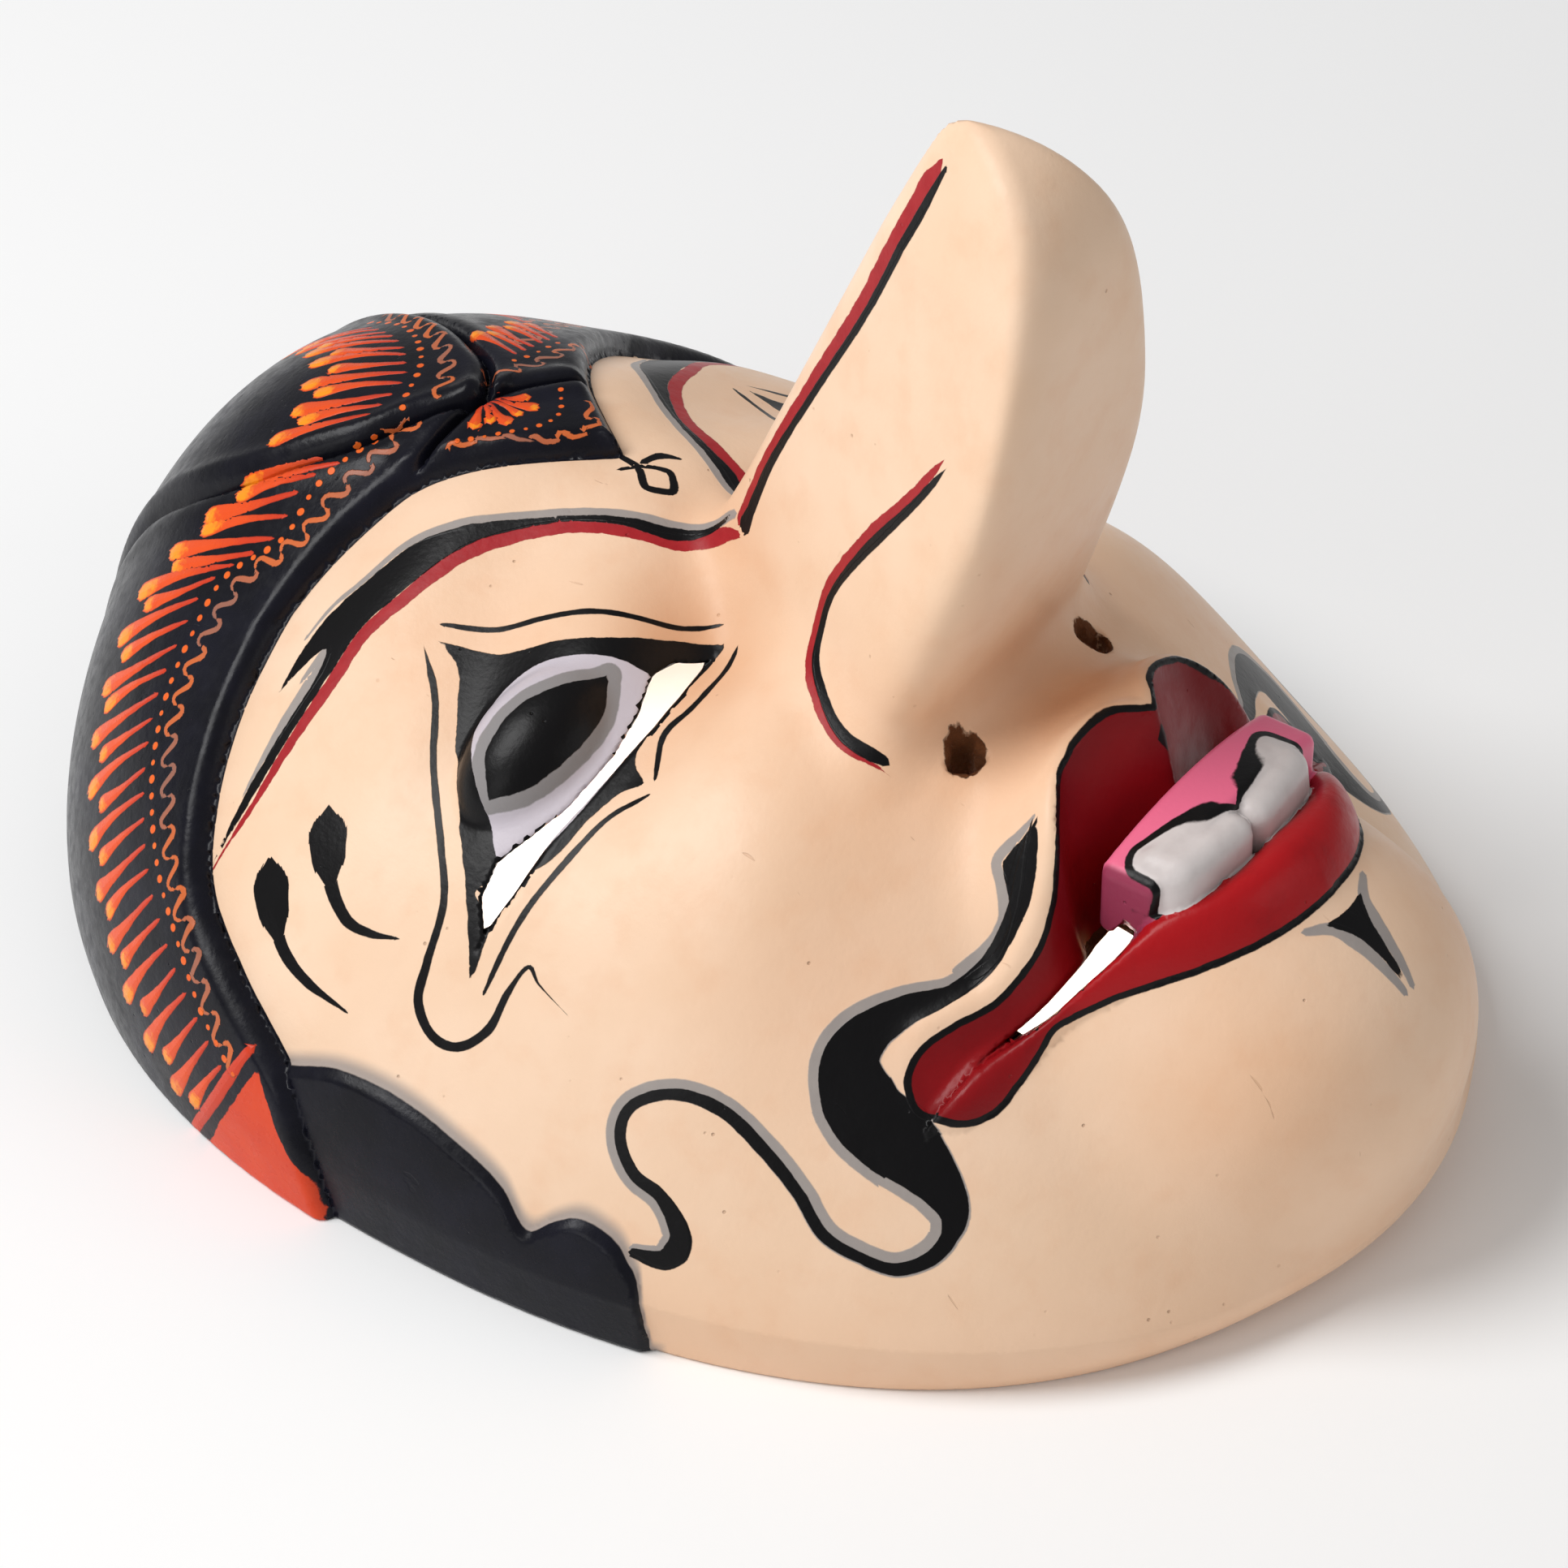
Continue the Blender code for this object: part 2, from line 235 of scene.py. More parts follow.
@dataclass(frozen=True)
class Block:
    """A rounded block, such as a tooth."""

    centre: Point
    half: Point
    rounding: float
    roll: float = 0.0
    pitch: float = 0.0

    def distance(self, x: Array, y: Array, z: Array) -> Array:
        """Distance to the rounded block.

        Args:
            x: across, millimetres.
            y: towards the crown.
            z: up.

        Returns:
            The distance, below 0 inside.
        """
        u, v, w = x - self.centre[0], y - self.centre[1], z - self.centre[2]
        c, s = math.cos(self.roll), math.sin(self.roll)
        u, w = u * c - w * s, u * s + w * c
        c, s = math.cos(self.pitch), math.sin(self.pitch)
        v, w = v * c - w * s, v * s + w * c
        q = [np.abs(a) - (h - self.rounding) for a, h in zip((u, v, w), self.half)]
        outside = np.sqrt(sum(np.maximum(a, 0.0) ** 2 for a in q))
        inside = np.minimum(np.maximum(q[0], np.maximum(q[1], q[2])), 0.0)
        return outside + inside - self.rounding


@dataclass(frozen=True)
class Hump:
    """A soft swelling or hollow of the face, given in plan and mirrored."""

    centre: Tuple[float, float]
    radii: Tuple[float, float]
    height: float
    turn: float = 0.0

    def rise(self, side: Array, y: Array) -> Array:
        """Height of the hump at a distance from the midline and a y.

        Args:
            side: distance from the midline.
            y: towards the crown.

        Returns:
            The height.
        """
        a = math.radians(self.turn)
        u = (side - self.centre[0]) * math.cos(a) + (y - self.centre[1]) * math.sin(a)
        v = -(side - self.centre[0]) * math.sin(a) + (y - self.centre[1]) * math.cos(a)
        return self.height * np.exp(-((u / self.radii[0]) ** 2 + (v / self.radii[1]) ** 2))


@dataclass(frozen=True)
class Nose:
    """The long nose: a ridged wedge whose end rounds over."""

    tip_y: float = -23.6
    tip_z: float = 146.0
    slope: float = 0.442
    half_base: float = 25.6
    end_z: float = 122.0

    def distance(self, x: Array, y: Array, z: Array) -> Array:
        """Distance to the nose.

        Args:
            x: across, millimetres.
            y: towards the crown.
            z: up.

        Returns:
            The distance, below 0 inside.
        """
        side = np.abs(x)
        bridge_y = self.tip_y + self.slope * (self.tip_z - z) + 1.0 + 0.004 * np.clip(84.0 - z, 0.0, 30.0) ** 2
        under_y = -44.0 + 5.2 * (np.clip(self.end_z - z, 0.0, 70.0) / 32.2) ** 1.6
        half = self.half_base - 11.0 * (np.clip(z - 60.0, 0.0, None) / 66.0) ** 1.35
        ridge = 3.6 * np.clip((self.tip_z + 2.0 - z) / 20.0, 0.15, 1.0)
        length = np.hypot(bridge_y - under_y, half - ridge)
        cheek = ((side - ridge) * (bridge_y - under_y) + (y - bridge_y) * (half - ridge)) / length
        bridge = (y - bridge_y - 0.6 + 0.05 * side ** 2) * 0.92
        under = (under_y - 2.0 * (1.0 - (side / np.maximum(half, 1.0)) ** 2)) - y
        back = np.clip(self.tip_y - y, 0.0, None) / 20.4
        lift = np.clip(z - self.end_z + 0.02 * side ** 2, 0.0, None) / (self.tip_z + 0.8 - self.end_z)
        end = ((back ** 2 + lift ** 2.6 + 1e-6) ** (1 / 2.3) - 1.0) * 20.0
        soft = 5.0 + 6.0 * ease((108.0 - z) / 40.0)
        body = blend_max(blend_max(cheek, bridge, 2.4), under, soft)
        return blend_max(body, end, 3.5)


SLANT = (0.65, 0.48)


@dataclass(frozen=True)
class Eye:
    """One eye of the pair: the bulging ball and the slit that is cut under it."""

    ball: Egg = Egg((37.4, 12.8, 54.1), (14.4, 9.0, 9.8), (31.0, 4.0, -13.0), (0.42, 0.06, 0.90))
    lower_edge: Tuple[Tuple[float, float], ...] = ((18.0, 1.4), (25.0, 0.6), (30.0, 0.6), (38.0, 1.5), (43.0, 2.3),
                                                   (48.0, 3.4), (55.0, 4.4), (60.0, 5.8))
    width: Tuple[Tuple[float, float], ...] = ((17.4, -0.6), (21.0, 2.6), (25.0, 3.8), (31.0, 1.9), (36.0, 1.0),
                                              (45.0, 0.9), (49.0, 1.9), (53.6, 3.8), (57.0, 2.9), (60.0, -0.6))

    def slit(self, side: Array, y: Array, sunk: Array) -> Array:
        """Distance to the slit, below 0 in the opening.

        The saw goes in at a slant, up and towards the nose, so the wearer looks out downwards.

        Args:
            side: distance from the midline.
            y: towards the crown.
            sunk: how deep below the skin.

        Returns:
            The distance.
        """
        deep = np.clip(sunk, -6.0, 15.0)
        along, across = side + SLANT[0] * deep, y - SLANT[1] * deep
        slack = 0.14 * np.clip(deep, 0.0, 15.0)
        low = np.interp(along, *zip(*self.lower_edge)) - slack
        high = low + np.interp(along, *zip(*self.width)) + 2.6 * slack
        return np.maximum(np.maximum(low - across, across - high) * 0.9, np.abs(along - 39.0) - 22.0)


@dataclass(frozen=True)
class Mouth:
    """The open mouth: funnel-like upper lip, gum, two front teeth, full lower lip and side slits."""

    upper_line: Tuple[Tuple[float, float], ...] = ((0.0, -56.5), (2.0, -54.4), (6.0, -51.8), (11.0, -50.7),
                                                   (15.0, -51.3), (18.0, -53.0), (22.0, -56.0), (26.0, -57.4),
                                                   (33.0, -55.5), (38.0, -52.6), (42.0, -50.3), (45.0, -50.2),
                                                   (47.5, -53.5))
    inner_line: Tuple[Tuple[float, float], ...] = ((0.0, -73.6), (8.0, -73.0), (13.0, -71.4), (19.0, -67.4),
                                                   (24.0, -65.2), (27.4, -63.1), (30.6, -61.1), (34.3, -58.7),
                                                   (38.0, -56.6), (42.0, -55.4), (47.5, -54.0))
    open_width: Tuple[Tuple[float, float], ...] = ((19.4, 1.9), (24.5, 1.8), (30.0, 1.1), (33.0, 0.6), (38.6, -0.3))
    lower_line: Tuple[Tuple[float, float], ...] = ((0.0, -83.0), (10.0, -80.8), (18.0, -76.0), (26.0, -68.0),
                                                   (31.0, -63.4), (36.0, -61.6), (41.0, -60.0), (45.0, -57.4),
                                                   (47.5, -54.0))
    depth: Tuple[Tuple[float, float], ...] = ((0.0, 8.5), (18.5, 8.5), (22.0, 5.0), (26.0, 2.4), (38.0, 1.5),
                                              (47.5, 0.6))
    roll: Tuple[Tuple[float, float], ...] = ((0.0, 3.6), (16.0, 3.2), (25.0, 2.0), (36.0, 1.3), (44.0, 1.4),
                                             (47.5, 0.3))
    gum: Block = Block((0.0, -65.2, 57.6), (19.0, 4.3, 5.4), 1.4)
    tooth: Block = Block((8.0, -69.2, 58.0), (7.9, 4.3, 4.6), 2.8, -0.10, 0.10)

    def lips(self, side: Array, y: Array) -> Array:
        """How far inside the outline of the lips a place lies, in plan.

        Args:
            side: distance from the midline.
            y: towards the crown.

        Returns:
            The distance inside.
        """
        top = read_profile(side, self.upper_line)
        low = read_profile(side, self.lower_line)
        steep_top = 1.0 / np.sqrt(1.0 + ((read_profile(side + 0.5, self.upper_line)
                                          - read_profile(side - 0.5, self.upper_line))) ** 2)
        steep_low = 1.0 / np.sqrt(1.0 + ((read_profile(side + 0.5, self.lower_line)
                                          - read_profile(side - 0.5, self.lower_line))) ** 2)
        return np.minimum(np.minimum((top - y) * steep_top, (y - low) * steep_low), 47.5 - side)

    def relief(self, side: Array, y: Array) -> Array:
        """How far the lips stand proud of the face, below 0 in the funnel of the mouth.

        Args:
            side: distance from the midline.
            y: towards the crown.

        Returns:
            The height.
        """
        top = read_profile(side, self.upper_line)
        inner = read_profile(side, self.inner_line)
        low = read_profile(side, self.lower_line)
        fade = ease((47.5 - side) / 8.0)
        from_top = np.clip((top - y) / 8.0, 0.0, 1.0)
        from_inner = np.clip((y - inner) / 2.2, 0.0, 1.0)
        depth = read_profile(side, self.depth) * (1.0 - (1.0 - from_top) ** 1.8) * ease(from_inner)
        across = np.clip((inner - y) / np.maximum(inner - low, 1.0), 0.0, 1.0)
        roll = read_profile(side, self.roll) * np.sin(math.pi * across) ** 0.75 * (side < 47.5)
        ledge = 1.0 * np.exp(-((top + 1.2 - y) / 2.2) ** 2) * fade
        return roll + ledge - depth

    def slit(self, side: Array, y: Array, sunk: Array) -> Array:
        """Distance to the open slit beside the teeth, sawn at the same slant as the eyes.

        Args:
            side: distance from the midline.
            y: towards the crown.
            sunk: how deep below the skin.

        Returns:
            The distance.
        """
        deep = np.clip(sunk, -6.0, 15.0)
        along, across = side + SLANT[0] * deep, y - SLANT[1] * deep
        slack = 0.05 * np.clip(deep, 0.0, 15.0)
        low = read_profile(along, self.inner_line) + 0.1 - slack
        high = low + np.interp(along, *zip(*self.open_width)) + 2.0 * slack
        return np.maximum(np.maximum(low - across, across - high) * 0.85, np.abs(along - 29.0) - 9.4)

    def solids(self, x: Array, y: Array, z: Array) -> Tuple[Array, Array]:
        """Distances to the gum and to the teeth.

        Args:
            x: across, millimetres.
            y: towards the crown.
            z: up.

        Returns:
            The two distances.
        """
        side = np.abs(x)
        gum = self.gum.distance(side, y - 0.002 * side ** 2, z + 0.010 * side ** 2)
        off = np.abs(x + 1.8)
        tooth = self.tooth.distance(off, y - 0.008 * off ** 2, z + 0.006 * off ** 2)
        return gum, tooth


@dataclass(frozen=True)
class Headscarf:
    """The folded cloth round the crown, with a tongue over the forehead."""

    thickness: float = 3.2
    near_edge: Tuple[Tuple[float, float], ...] = ((0.0, 28.5), (9.0, 39.0), (17.0, 48.8), (24.0, 52.6),
                                                  (30.0, 55.0), (37.0, 56.6), (44.0, 57.3), (60.0, 57.6))
    far_edge: Tuple[Tuple[float, float], ...] = ((0.0, 28.5), (9.0, 40.5), (17.0, 47.0), (26.0, 52.0),
                                                 (34.0, 55.5), (44.0, 57.3), (60.0, 57.6))
    side_drop: Tuple[Tuple[float, float], ...] = ((0.0, 40.0), (4.0, 38.6), (12.0, 35.4), (20.0, 30.3),
                                                  (27.0, 19.5), (32.0, 11.6), (40.0, 5.6), (47.0, 2.4), (56.0, 0.0))
    near_fold: Tuple[Tuple[float, float], ...] = ((48.0, -3.0), (54.0, -10.0), (59.0, -16.0), (66.0, -20.5),
                                                  (74.0, -24.0), (82.0, -25.0), (91.0, -24.5), (106.0, -24.0))
    far_fold: Tuple[Tuple[float, float], ...] = ((48.0, -4.0), (53.0, 3.0), (59.0, 7.0), (69.0, 12.0),
                                                 (80.0, 15.0), (95.0, 17.0), (106.0, 18.0))
    tongue_fold: Tuple[Tuple[float, float], ...] = ((-19.0, 49.6), (-11.0, 49.4), (-4.0, 48.8), (2.0, 46.0),
                                                    (7.0, 41.4), (10.0, 38.0))

    def plan_edge(self, x: Array, z: Array) -> Array:
        """The y of the cloth's lower edge.

        Args:
            x: across, millimetres.
            z: up.

        Returns:
            The y of the edge.
        """
        side = np.abs(x)
        edge = np.where(x < 0.0, read_profile(side, self.near_edge), read_profile(side, self.far_edge))
        return edge - read_profile(z, self.side_drop)

    def inside(self, x: Array, y: Array, z: Array) -> Array:
        """Distance inside the cloth's edge.

        Args:
            x: across, millimetres.
            y: towards the crown.
            z: up.

        Returns:
            The distance inside.
        """
        here = y - self.plan_edge(x, z)
        slope_z = self.plan_edge(x, z + 0.7) - self.plan_edge(x, z - 0.7)
        slope_x = self.plan_edge(x + 0.7, z) - self.plan_edge(x - 0.7, z)
        return here / np.sqrt(1.0 + (slope_z / 1.4) ** 2 + (slope_x / 1.4) ** 2)

    def folds(self, x: Array, y: Array) -> Array:
        """Height of the folds: rounded pieces with deep grooves between them.

        Args:
            x: across.
            y: towards the crown.

        Returns:
            Height, below 0 in the grooves.
        """
        def off(line: Sequence[Tuple[float, float]], along: Array, across: Array) -> Array:
            """Distance from a fold line."""
            slope = read_profile(along + 0.5, line) - read_profile(along - 0.5, line)
            return (across - read_profile(along, line)) / np.sqrt(1.0 + slope ** 2)

        def groove(d: Array, depth: float) -> Array:
            """A cut with a rounded shoulder on each side."""
            return 0.45 * np.exp(-((np.abs(d) - 2.2) / 1.8) ** 2) - depth * np.exp(-(d / 0.6) ** 2)

        near, far = off(self.near_fold, y, x), off(self.far_fold, y, x)
        tuck = off(self.tongue_fold, x, y)
        above = ease((tuck + 0.6) / 1.4)
        height = above * (groove(near, 2.1) + groove(far, 1.9) + 0.9 * ease(near / 3.0) * ease(-far / 3.0))
        span = ease((x + 19.0) / 2.0) * ease((10.0 - x) / 2.0)
        return height + span * groove(tuck, 1.7)

    def relief(self, x: Array, y: Array, z: Array) -> Array:
        """How far the cloth stands proud of the face.

        Args:
            x: across, millimetres.
            y: towards the crown.
            z: up.

        Returns:
            The height.
        """
        deep = self.inside(x, y, z)
        t = np.clip(deep / 2.4, 0.0, 1.0)
        rise = self.thickness * np.sqrt(np.clip(1.0 - (1.0 - t) ** 2, 0.0, 1.0))
        return rise + self.folds(x, y) * ease(deep / 2.0)


@dataclass(frozen=True)
class CarvedMask:
    """The whole carving as one distance."""

    dome: Dome = Dome()
    nose: Nose = Nose()
    eye: Eye = Eye()
    mouth: Mouth = Mouth()
    scarf: Headscarf = Headscarf()
    wall: float = 8.0
    chin: Egg = Egg((0.0, -76.0, 26.0), (30.0, 25.0, 27.0))
    muzzle: Egg = Egg((0.0, -60.0, 28.0), (30.0, 27.0, 32.0))
    upper_lip: Egg = Egg((0.0, -52.0, 48.0), (27.0, 14.0, 22.0))
    humps: Tuple[Hump, ...] = (
        Hump((30.0, 42.0), (24.0, 7.0), 1.5, 8.0),
        Hump((27.0, -1.0), (22.0, 8.0), -4.5, 6.0),
        Hump((15.0, 3.0), (9.0, 9.0), -4.5),
        Hump((40.0, 22.0), (18.0, 7.0), -2.0, -18.0),
        Hump((42.0, -24.0), (16.0, 12.0), 2.5),
        Hump((0.0, -46.0), (3.2, 7.0), -1.0),
        Hump((0.0, 9.0), (13.0, 9.0), -3.5),
    )
    nostril: Point = (14.6, -37.0, 2.2)

    def skin(self, x: Array, y: Array, z: Array) -> Array:
        """The face before anything is cut or laid on it.

        Args:
            x: across, millimetres.
            y: towards the crown.
            z: up.

        Returns:
            The distance.
        """
        side = np.sqrt(x * x + 1.0)
        f = self.dome.distance(x, y, z)
        rise = sum(h.rise(side, y) for h in self.humps)
        f = f - rise * ease((z - 10.0) / 15.0)
        f = blend_min(f, self.chin.distance(x, y, z), 9.0)
        f = blend_min(f, self.muzzle.distance(x, y, z), 9.0)
        f = blend_min(f, self.upper_lip.distance(x, y, z), 7.0)
        near = (z > 48.0) & (side < 40.0) & (y < 40.0) & (y > -60.0)
        nose = np.full(f.shape, 30.0)
        nose[near] = self.nose.distance(x[near], y[near], z[near])
        pared = (3.4 * np.exp(-((x - 40.0) / 15.0) ** 2 - ((y + 62.0) / 18.0) ** 2)
                 + 2.4 * np.exp(-((x - 22.0) / 8.0) ** 2 - ((y + 56.0) / 12.0) ** 2)) * ease((z - 18.0) / 12.0)
        return blend_min(f + pared, nose, 6.0)

    def sideburn(self, y: Array, z: Array) -> Array:
        """How far inside the sideburn's outline a place on the side wall lies.

        Args:
            y: towards the crown.
            z: up.

        Returns:
            The distance inside.
        """
        top = read_profile(-y, ((-30.0, 18.5), (-19.0, 23.0), (-11.0, 23.4), (0.0, 21.0), (8.0, 17.6),
                                (13.0, 13.4), (15.5, 15.4), (18.5, 17.0), (22.0, 16.6), (26.0, 14.0),
                                (29.0, 8.5), (30.5, 0.0)))
        return np.minimum((top - z) * 0.9, (y + 30.3))

    def face(self, x: Array, y: Array, z: Array) -> Array:
        """The outside of the mask, with lips, eyeballs, teeth and cloth.

        Args:
            x: across, millimetres.
            y: towards the crown.
            z: up.

        Returns:
            The distance.
        """
        side = np.sqrt(x * x + 0.25)
        f = self.skin(x, y, z)
        sunk = -f
        low = (y < -44.0) & (z > 24.0)
        relief = np.zeros(f.shape)
        relief[low] = self.mouth.relief(side[low], y[low])
        f = f - relief
        high = y > 12.0
        cloth = np.zeros(f.shape)
        cloth[high] = self.scarf.relief(x[high], y[high], z[high])
        f = f - cloth
        edge = (side > 66.0) & (y < 28.0) & (y > -34.0) & (z < 28.0)
        burn = np.zeros(f.shape)
        burn[edge] = 1.1 * ease(self.sideburn(y[edge], z[edge]) / 1.8 + 0.3)
        f = f - burn * (cloth < 0.2)
        eye = (side > 5.0) & (side < 66.0) & (y > -10.0) & (y < 32.0) & (z > 30.0)
        ball = np.full(f.shape, 30.0)
        ball[eye] = self.eye.ball.distance(side[eye], y[eye], z[eye])
        hole = np.full(f.shape, 30.0)
        hole[eye] = self.eye.slit(side[eye], y[eye], sunk[eye])
        hole[low] = np.minimum(hole[low], self.mouth.slit(side[low], y[low], sunk[low]))
        nx, ny, nr = self.nostril
        around = np.arctan2(y - ny, side - nx)
        drill = (np.hypot(side - nx, y - ny) - nr - 0.35 * np.sin(3.0 * around + 1.0)
                 - 0.2 * np.sin(5.0 * around))
        hole = np.where(z < 69.5, np.minimum(hole, drill), hole)
        f = np.where(eye, blend_min(f, ball, 0.8), f)
        f = blend_max(f, -hole, 0.9)
        mouth = low & (side < 24.0) & (y > -80.0)
        gum, tooth = self.mouth.solids(x[mouth], y[mouth], z[mouth])
        gum = np.maximum(gum, -self.mouth.slit(side[mouth], y[mouth], sunk[mouth]))
        f[mouth] = blend_min(blend_min(f[mouth], gum, 1.0), tooth, 0.5)
        return f

    def hollow(self, x: Array, y: Array, z: Array) -> Array:
        """The gouged hollow behind the face, which keeps a wall behind every dip of the face.

        Args:
            x: across, millimetres.
            y: towards the crown.
            z: up.

        Returns:
            The distance.
        """
        gouges = 0.35 * np.cos(x * 0.55 + 1.3 * np.sin(y * 0.11)) * np.cos(y * 0.21 + 1.1 * np.sin(x * 0.17))
        shell = self.dome.distance(x, y, z, self.wall)
        dips = (np.abs(x) < 62.0) & (y > -84.0) & (y < 34.0) & (z > 24.0)
        shell[dips] = blend_max(shell[dips], self.skin(x[dips], y[dips], z[dips]) + 5.0, 3.0)
        return shell + gouges - 0.2

    def distance(self, p: Array) -> Array:
        """Distance to the wood for an (N, 3) array of places.

        Args:
            p: (N, 3) places.

        Returns:
            The distance, below 0 inside.
        """
        x, y, z = p[:, 0], p[:, 1], p[:, 2]
        f = blend_max(self.face(x, y, z), -self.hollow(x, y, z), 1.0)
        return blend_max(f, -z, 0.8)

    def slope(self, p: Array) -> Tuple[Array, Array]:
        """Distance and its direction of growth.

        Args:
            p: (N, 3) places.

        Returns:
            The distance and the direction.
        """
        e = 0.15
        here = self.distance(p)
        grad = np.stack([self.distance(p + np.array(s)) for s in ((e, 0, 0), (0, e, 0), (0, 0, e))], -1)
        return here, (grad - here[:, None]) / e

    def settle(self, p: Array, rounds: int = 2, limit: float = 0.6) -> Tuple[Array, Array]:
        """Pull places onto the surface.

        Args:
            p: (N, 3) places near the surface.
            rounds: how many pulls.
            limit: the longest pull.

        Returns:
            The settled places and their outward directions.
        """
        grad = np.zeros_like(p)
        for _ in range(rounds):
            here, grad = self.slope(p)
            size = np.maximum((grad ** 2).sum(1), 0.2)
            pull = np.clip(here / size, -limit, limit)
            p = p - grad * pull[:, None]
        return p, grad / np.maximum(np.linalg.norm(grad, axis=1), 1e-6)[:, None]


# ---- netting the shape --------------------------------------------------------------------------------
@dataclass(frozen=True)
class Netting:
    """A net of quads over a distance, on an even grid."""

    cell: float
    low: Point
    high: Point
    coarse: int = 4

    def weave(self, distance: Callable[[Array], Array]) -> Tuple[Array, Array]:
        """Net the surface.

        Args:
            distance: the shape, called with an (N, 3) array.

        Returns:
            Vertex places and quads, outward.
        """
        low = np.array(self.low, float)
        blocks = np.ceil((np.array(self.high) - low) / (self.cell * self.coarse)).astype(int)
        grids = np.stack(np.meshgrid(*[np.arange(n + 1) for n in blocks], indexing="ij"), -1)
        coarse = distance((low + grids.reshape(-1, 3) * self.cell * self.coarse)).reshape(grids.shape[:3])
        size = blocks * self.coarse + 1
        value = np.repeat(np.repeat(np.repeat(coarse, self.coarse, 0), self.coarse, 1), self.coarse, 2)
        value = value[:size[0], :size[1], :size[2]].copy()
        reach = self.cell * self.coarse * 1.9
        near = np.abs(coarse) < reach
        fine = np.repeat(np.repeat(np.repeat(near, self.coarse, 0), self.coarse, 1), self.coarse, 2)
        fine = fine[:size[0], :size[1], :size[2]]
        index = np.argwhere(fine)
        for start in range(0, len(index), 400000):
            part = index[start:start + 400000]
            value[part[:, 0], part[:, 1], part[:, 2]] = distance(low + part * self.cell)
        inside = value < 0.0
        count = np.zeros(tuple(size - 1), np.int8)
        for dx in (0, 1):
            for dy in (0, 1):
                for dz in (0, 1):
                    count += inside[dx:size[0] - 1 + dx, dy:size[1] - 1 + dy, dz:size[2] - 1 + dz]
        cells = np.argwhere((count > 0) & (count < 8))
        total, crossings = np.zeros((len(cells), 3)), np.zeros(len(cells))
        corners = [(a, b, c) for a in (0, 1) for b in (0, 1) for c in (0, 1)]
        for a in corners:
            for axis in range(3):
                if a[axis] == 1:
                    continue
                b = tuple(v + (k == axis) for k, v in enumerate(a))
                va = value[cells[:, 0] + a[0], cells[:, 1] + a[1], cells[:, 2] + a[2]]
                vb = value[cells[:, 0] + b[0], cells[:, 1] + b[1], cells[:, 2] + b[2]]
                cross = (va < 0.0) != (vb < 0.0)
                t = np.where(cross, va / np.where(cross, va - vb, 1.0), 0.0)
                place = np.array(a, float) + (np.array(b) - np.array(a)) * t[:, None]
                total += np.where(cross[:, None], place, 0.0)
                crossings += cross
        verts = low + (cells + total / crossings[:, None]) * self.cell
        lookup = np.full(tuple(size - 1), -1, np.int32)
        lookup[cells[:, 0], cells[:, 1], cells[:, 2]] = np.arange(len(cells))
        quads = []
        for axis in range(3):
            first = [slice(None)] * 3
            second = [slice(None)] * 3
            first[axis], second[axis] = slice(0, -1), slice(1, None)
            edge = np.argwhere(inside[tuple(first)] != inside[tuple(second)])
            u, v = (axis + 1) % 3, (axis + 2) % 3
            ok = (edge[:, u] > 0) & (edge[:, v] > 0) & (edge[:, u] < size[u] - 1) & (edge[:, v] < size[v] - 1)
            edge = edge[ok]
            ids = []
            for du, dv in ((1, 1), (0, 1), (0, 0), (1, 0)):
                c = edge.copy()
                c[:, u] -= du
                c[:, v] -= dv
                ids.append(lookup[c[:, 0], c[:, 1], c[:, 2]])
            quad = np.stack(ids, -1)
            start_in = inside[edge[:, 0], edge[:, 1], edge[:, 2]]
            quad[~start_in] = quad[~start_in][:, ::-1]
            quads.append(quad)
        return verts, np.vstack(quads)


# ---- brushwork ----------------------------------------------------------------------------------------
class Layer(Enum):
    """The pots of paint that the lines are drawn from, in the order they are laid."""

    GREY = "grey_line"
    RED = "red_line"
    BLACK = "black_line"
    DROP = "drop_line"
    DOT = "dot_line"
    VINE = "vine_line"


class Fill(Enum):
    """The filled areas of the face and where each is stored: attribute and channel."""

    CLOTH = ("fill_a", 0)
    LIPS = ("fill_a", 1)
    GUM = ("fill_a", 2)
    TOOTH = ("fill_b", 0)
    EYEBALL = ("fill_b", 1)
    PUPIL = ("fill_b", 2)
    BLACK = ("fill_c", 0)
    SIDEBURN = ("fill_c", 1)
    BLOCK = ("fill_c", 2)
    RAW = ("fill_d", 0)
    # Warm darker cream in the eye sockets, under the nose, at the nose root and towards the rim: partly airbrushed
    # tint, partly painted shade.
    BLUSH = ("fill_d", 1)
    # Painted shade: darker cream in the hollows by the eyes, under the nose and under the lower lip.
    SHADE = ("fill_d", 2)


@dataclass(frozen=True)
class Stroke:
    """A brush line on the face.

    The widths are (share of the length, half-width) pairs; an end whose half-width isn't 0 is rounded.
    """

    layer: Layer
    points: Tuple[Point, ...]
    widths: Tuple[Tuple[float, float], ...]
    mirrored: bool = True
    shift: float = 0.0
    tone: float = 0.5


@dataclass(frozen=True)
class Patch:
    """A filled outline on the face, made of smooth runs that meet at corners."""

    fill: Fill
    runs: Tuple[Tuple[Point, ...], ...]
    mirrored: bool = True


def flip(points: Sequence[Point]) -> Tuple[Point, ...]:
    """Mirror points to the other half of the face."""
    return tuple((-p[0], p[1], p[2]) for p in points)


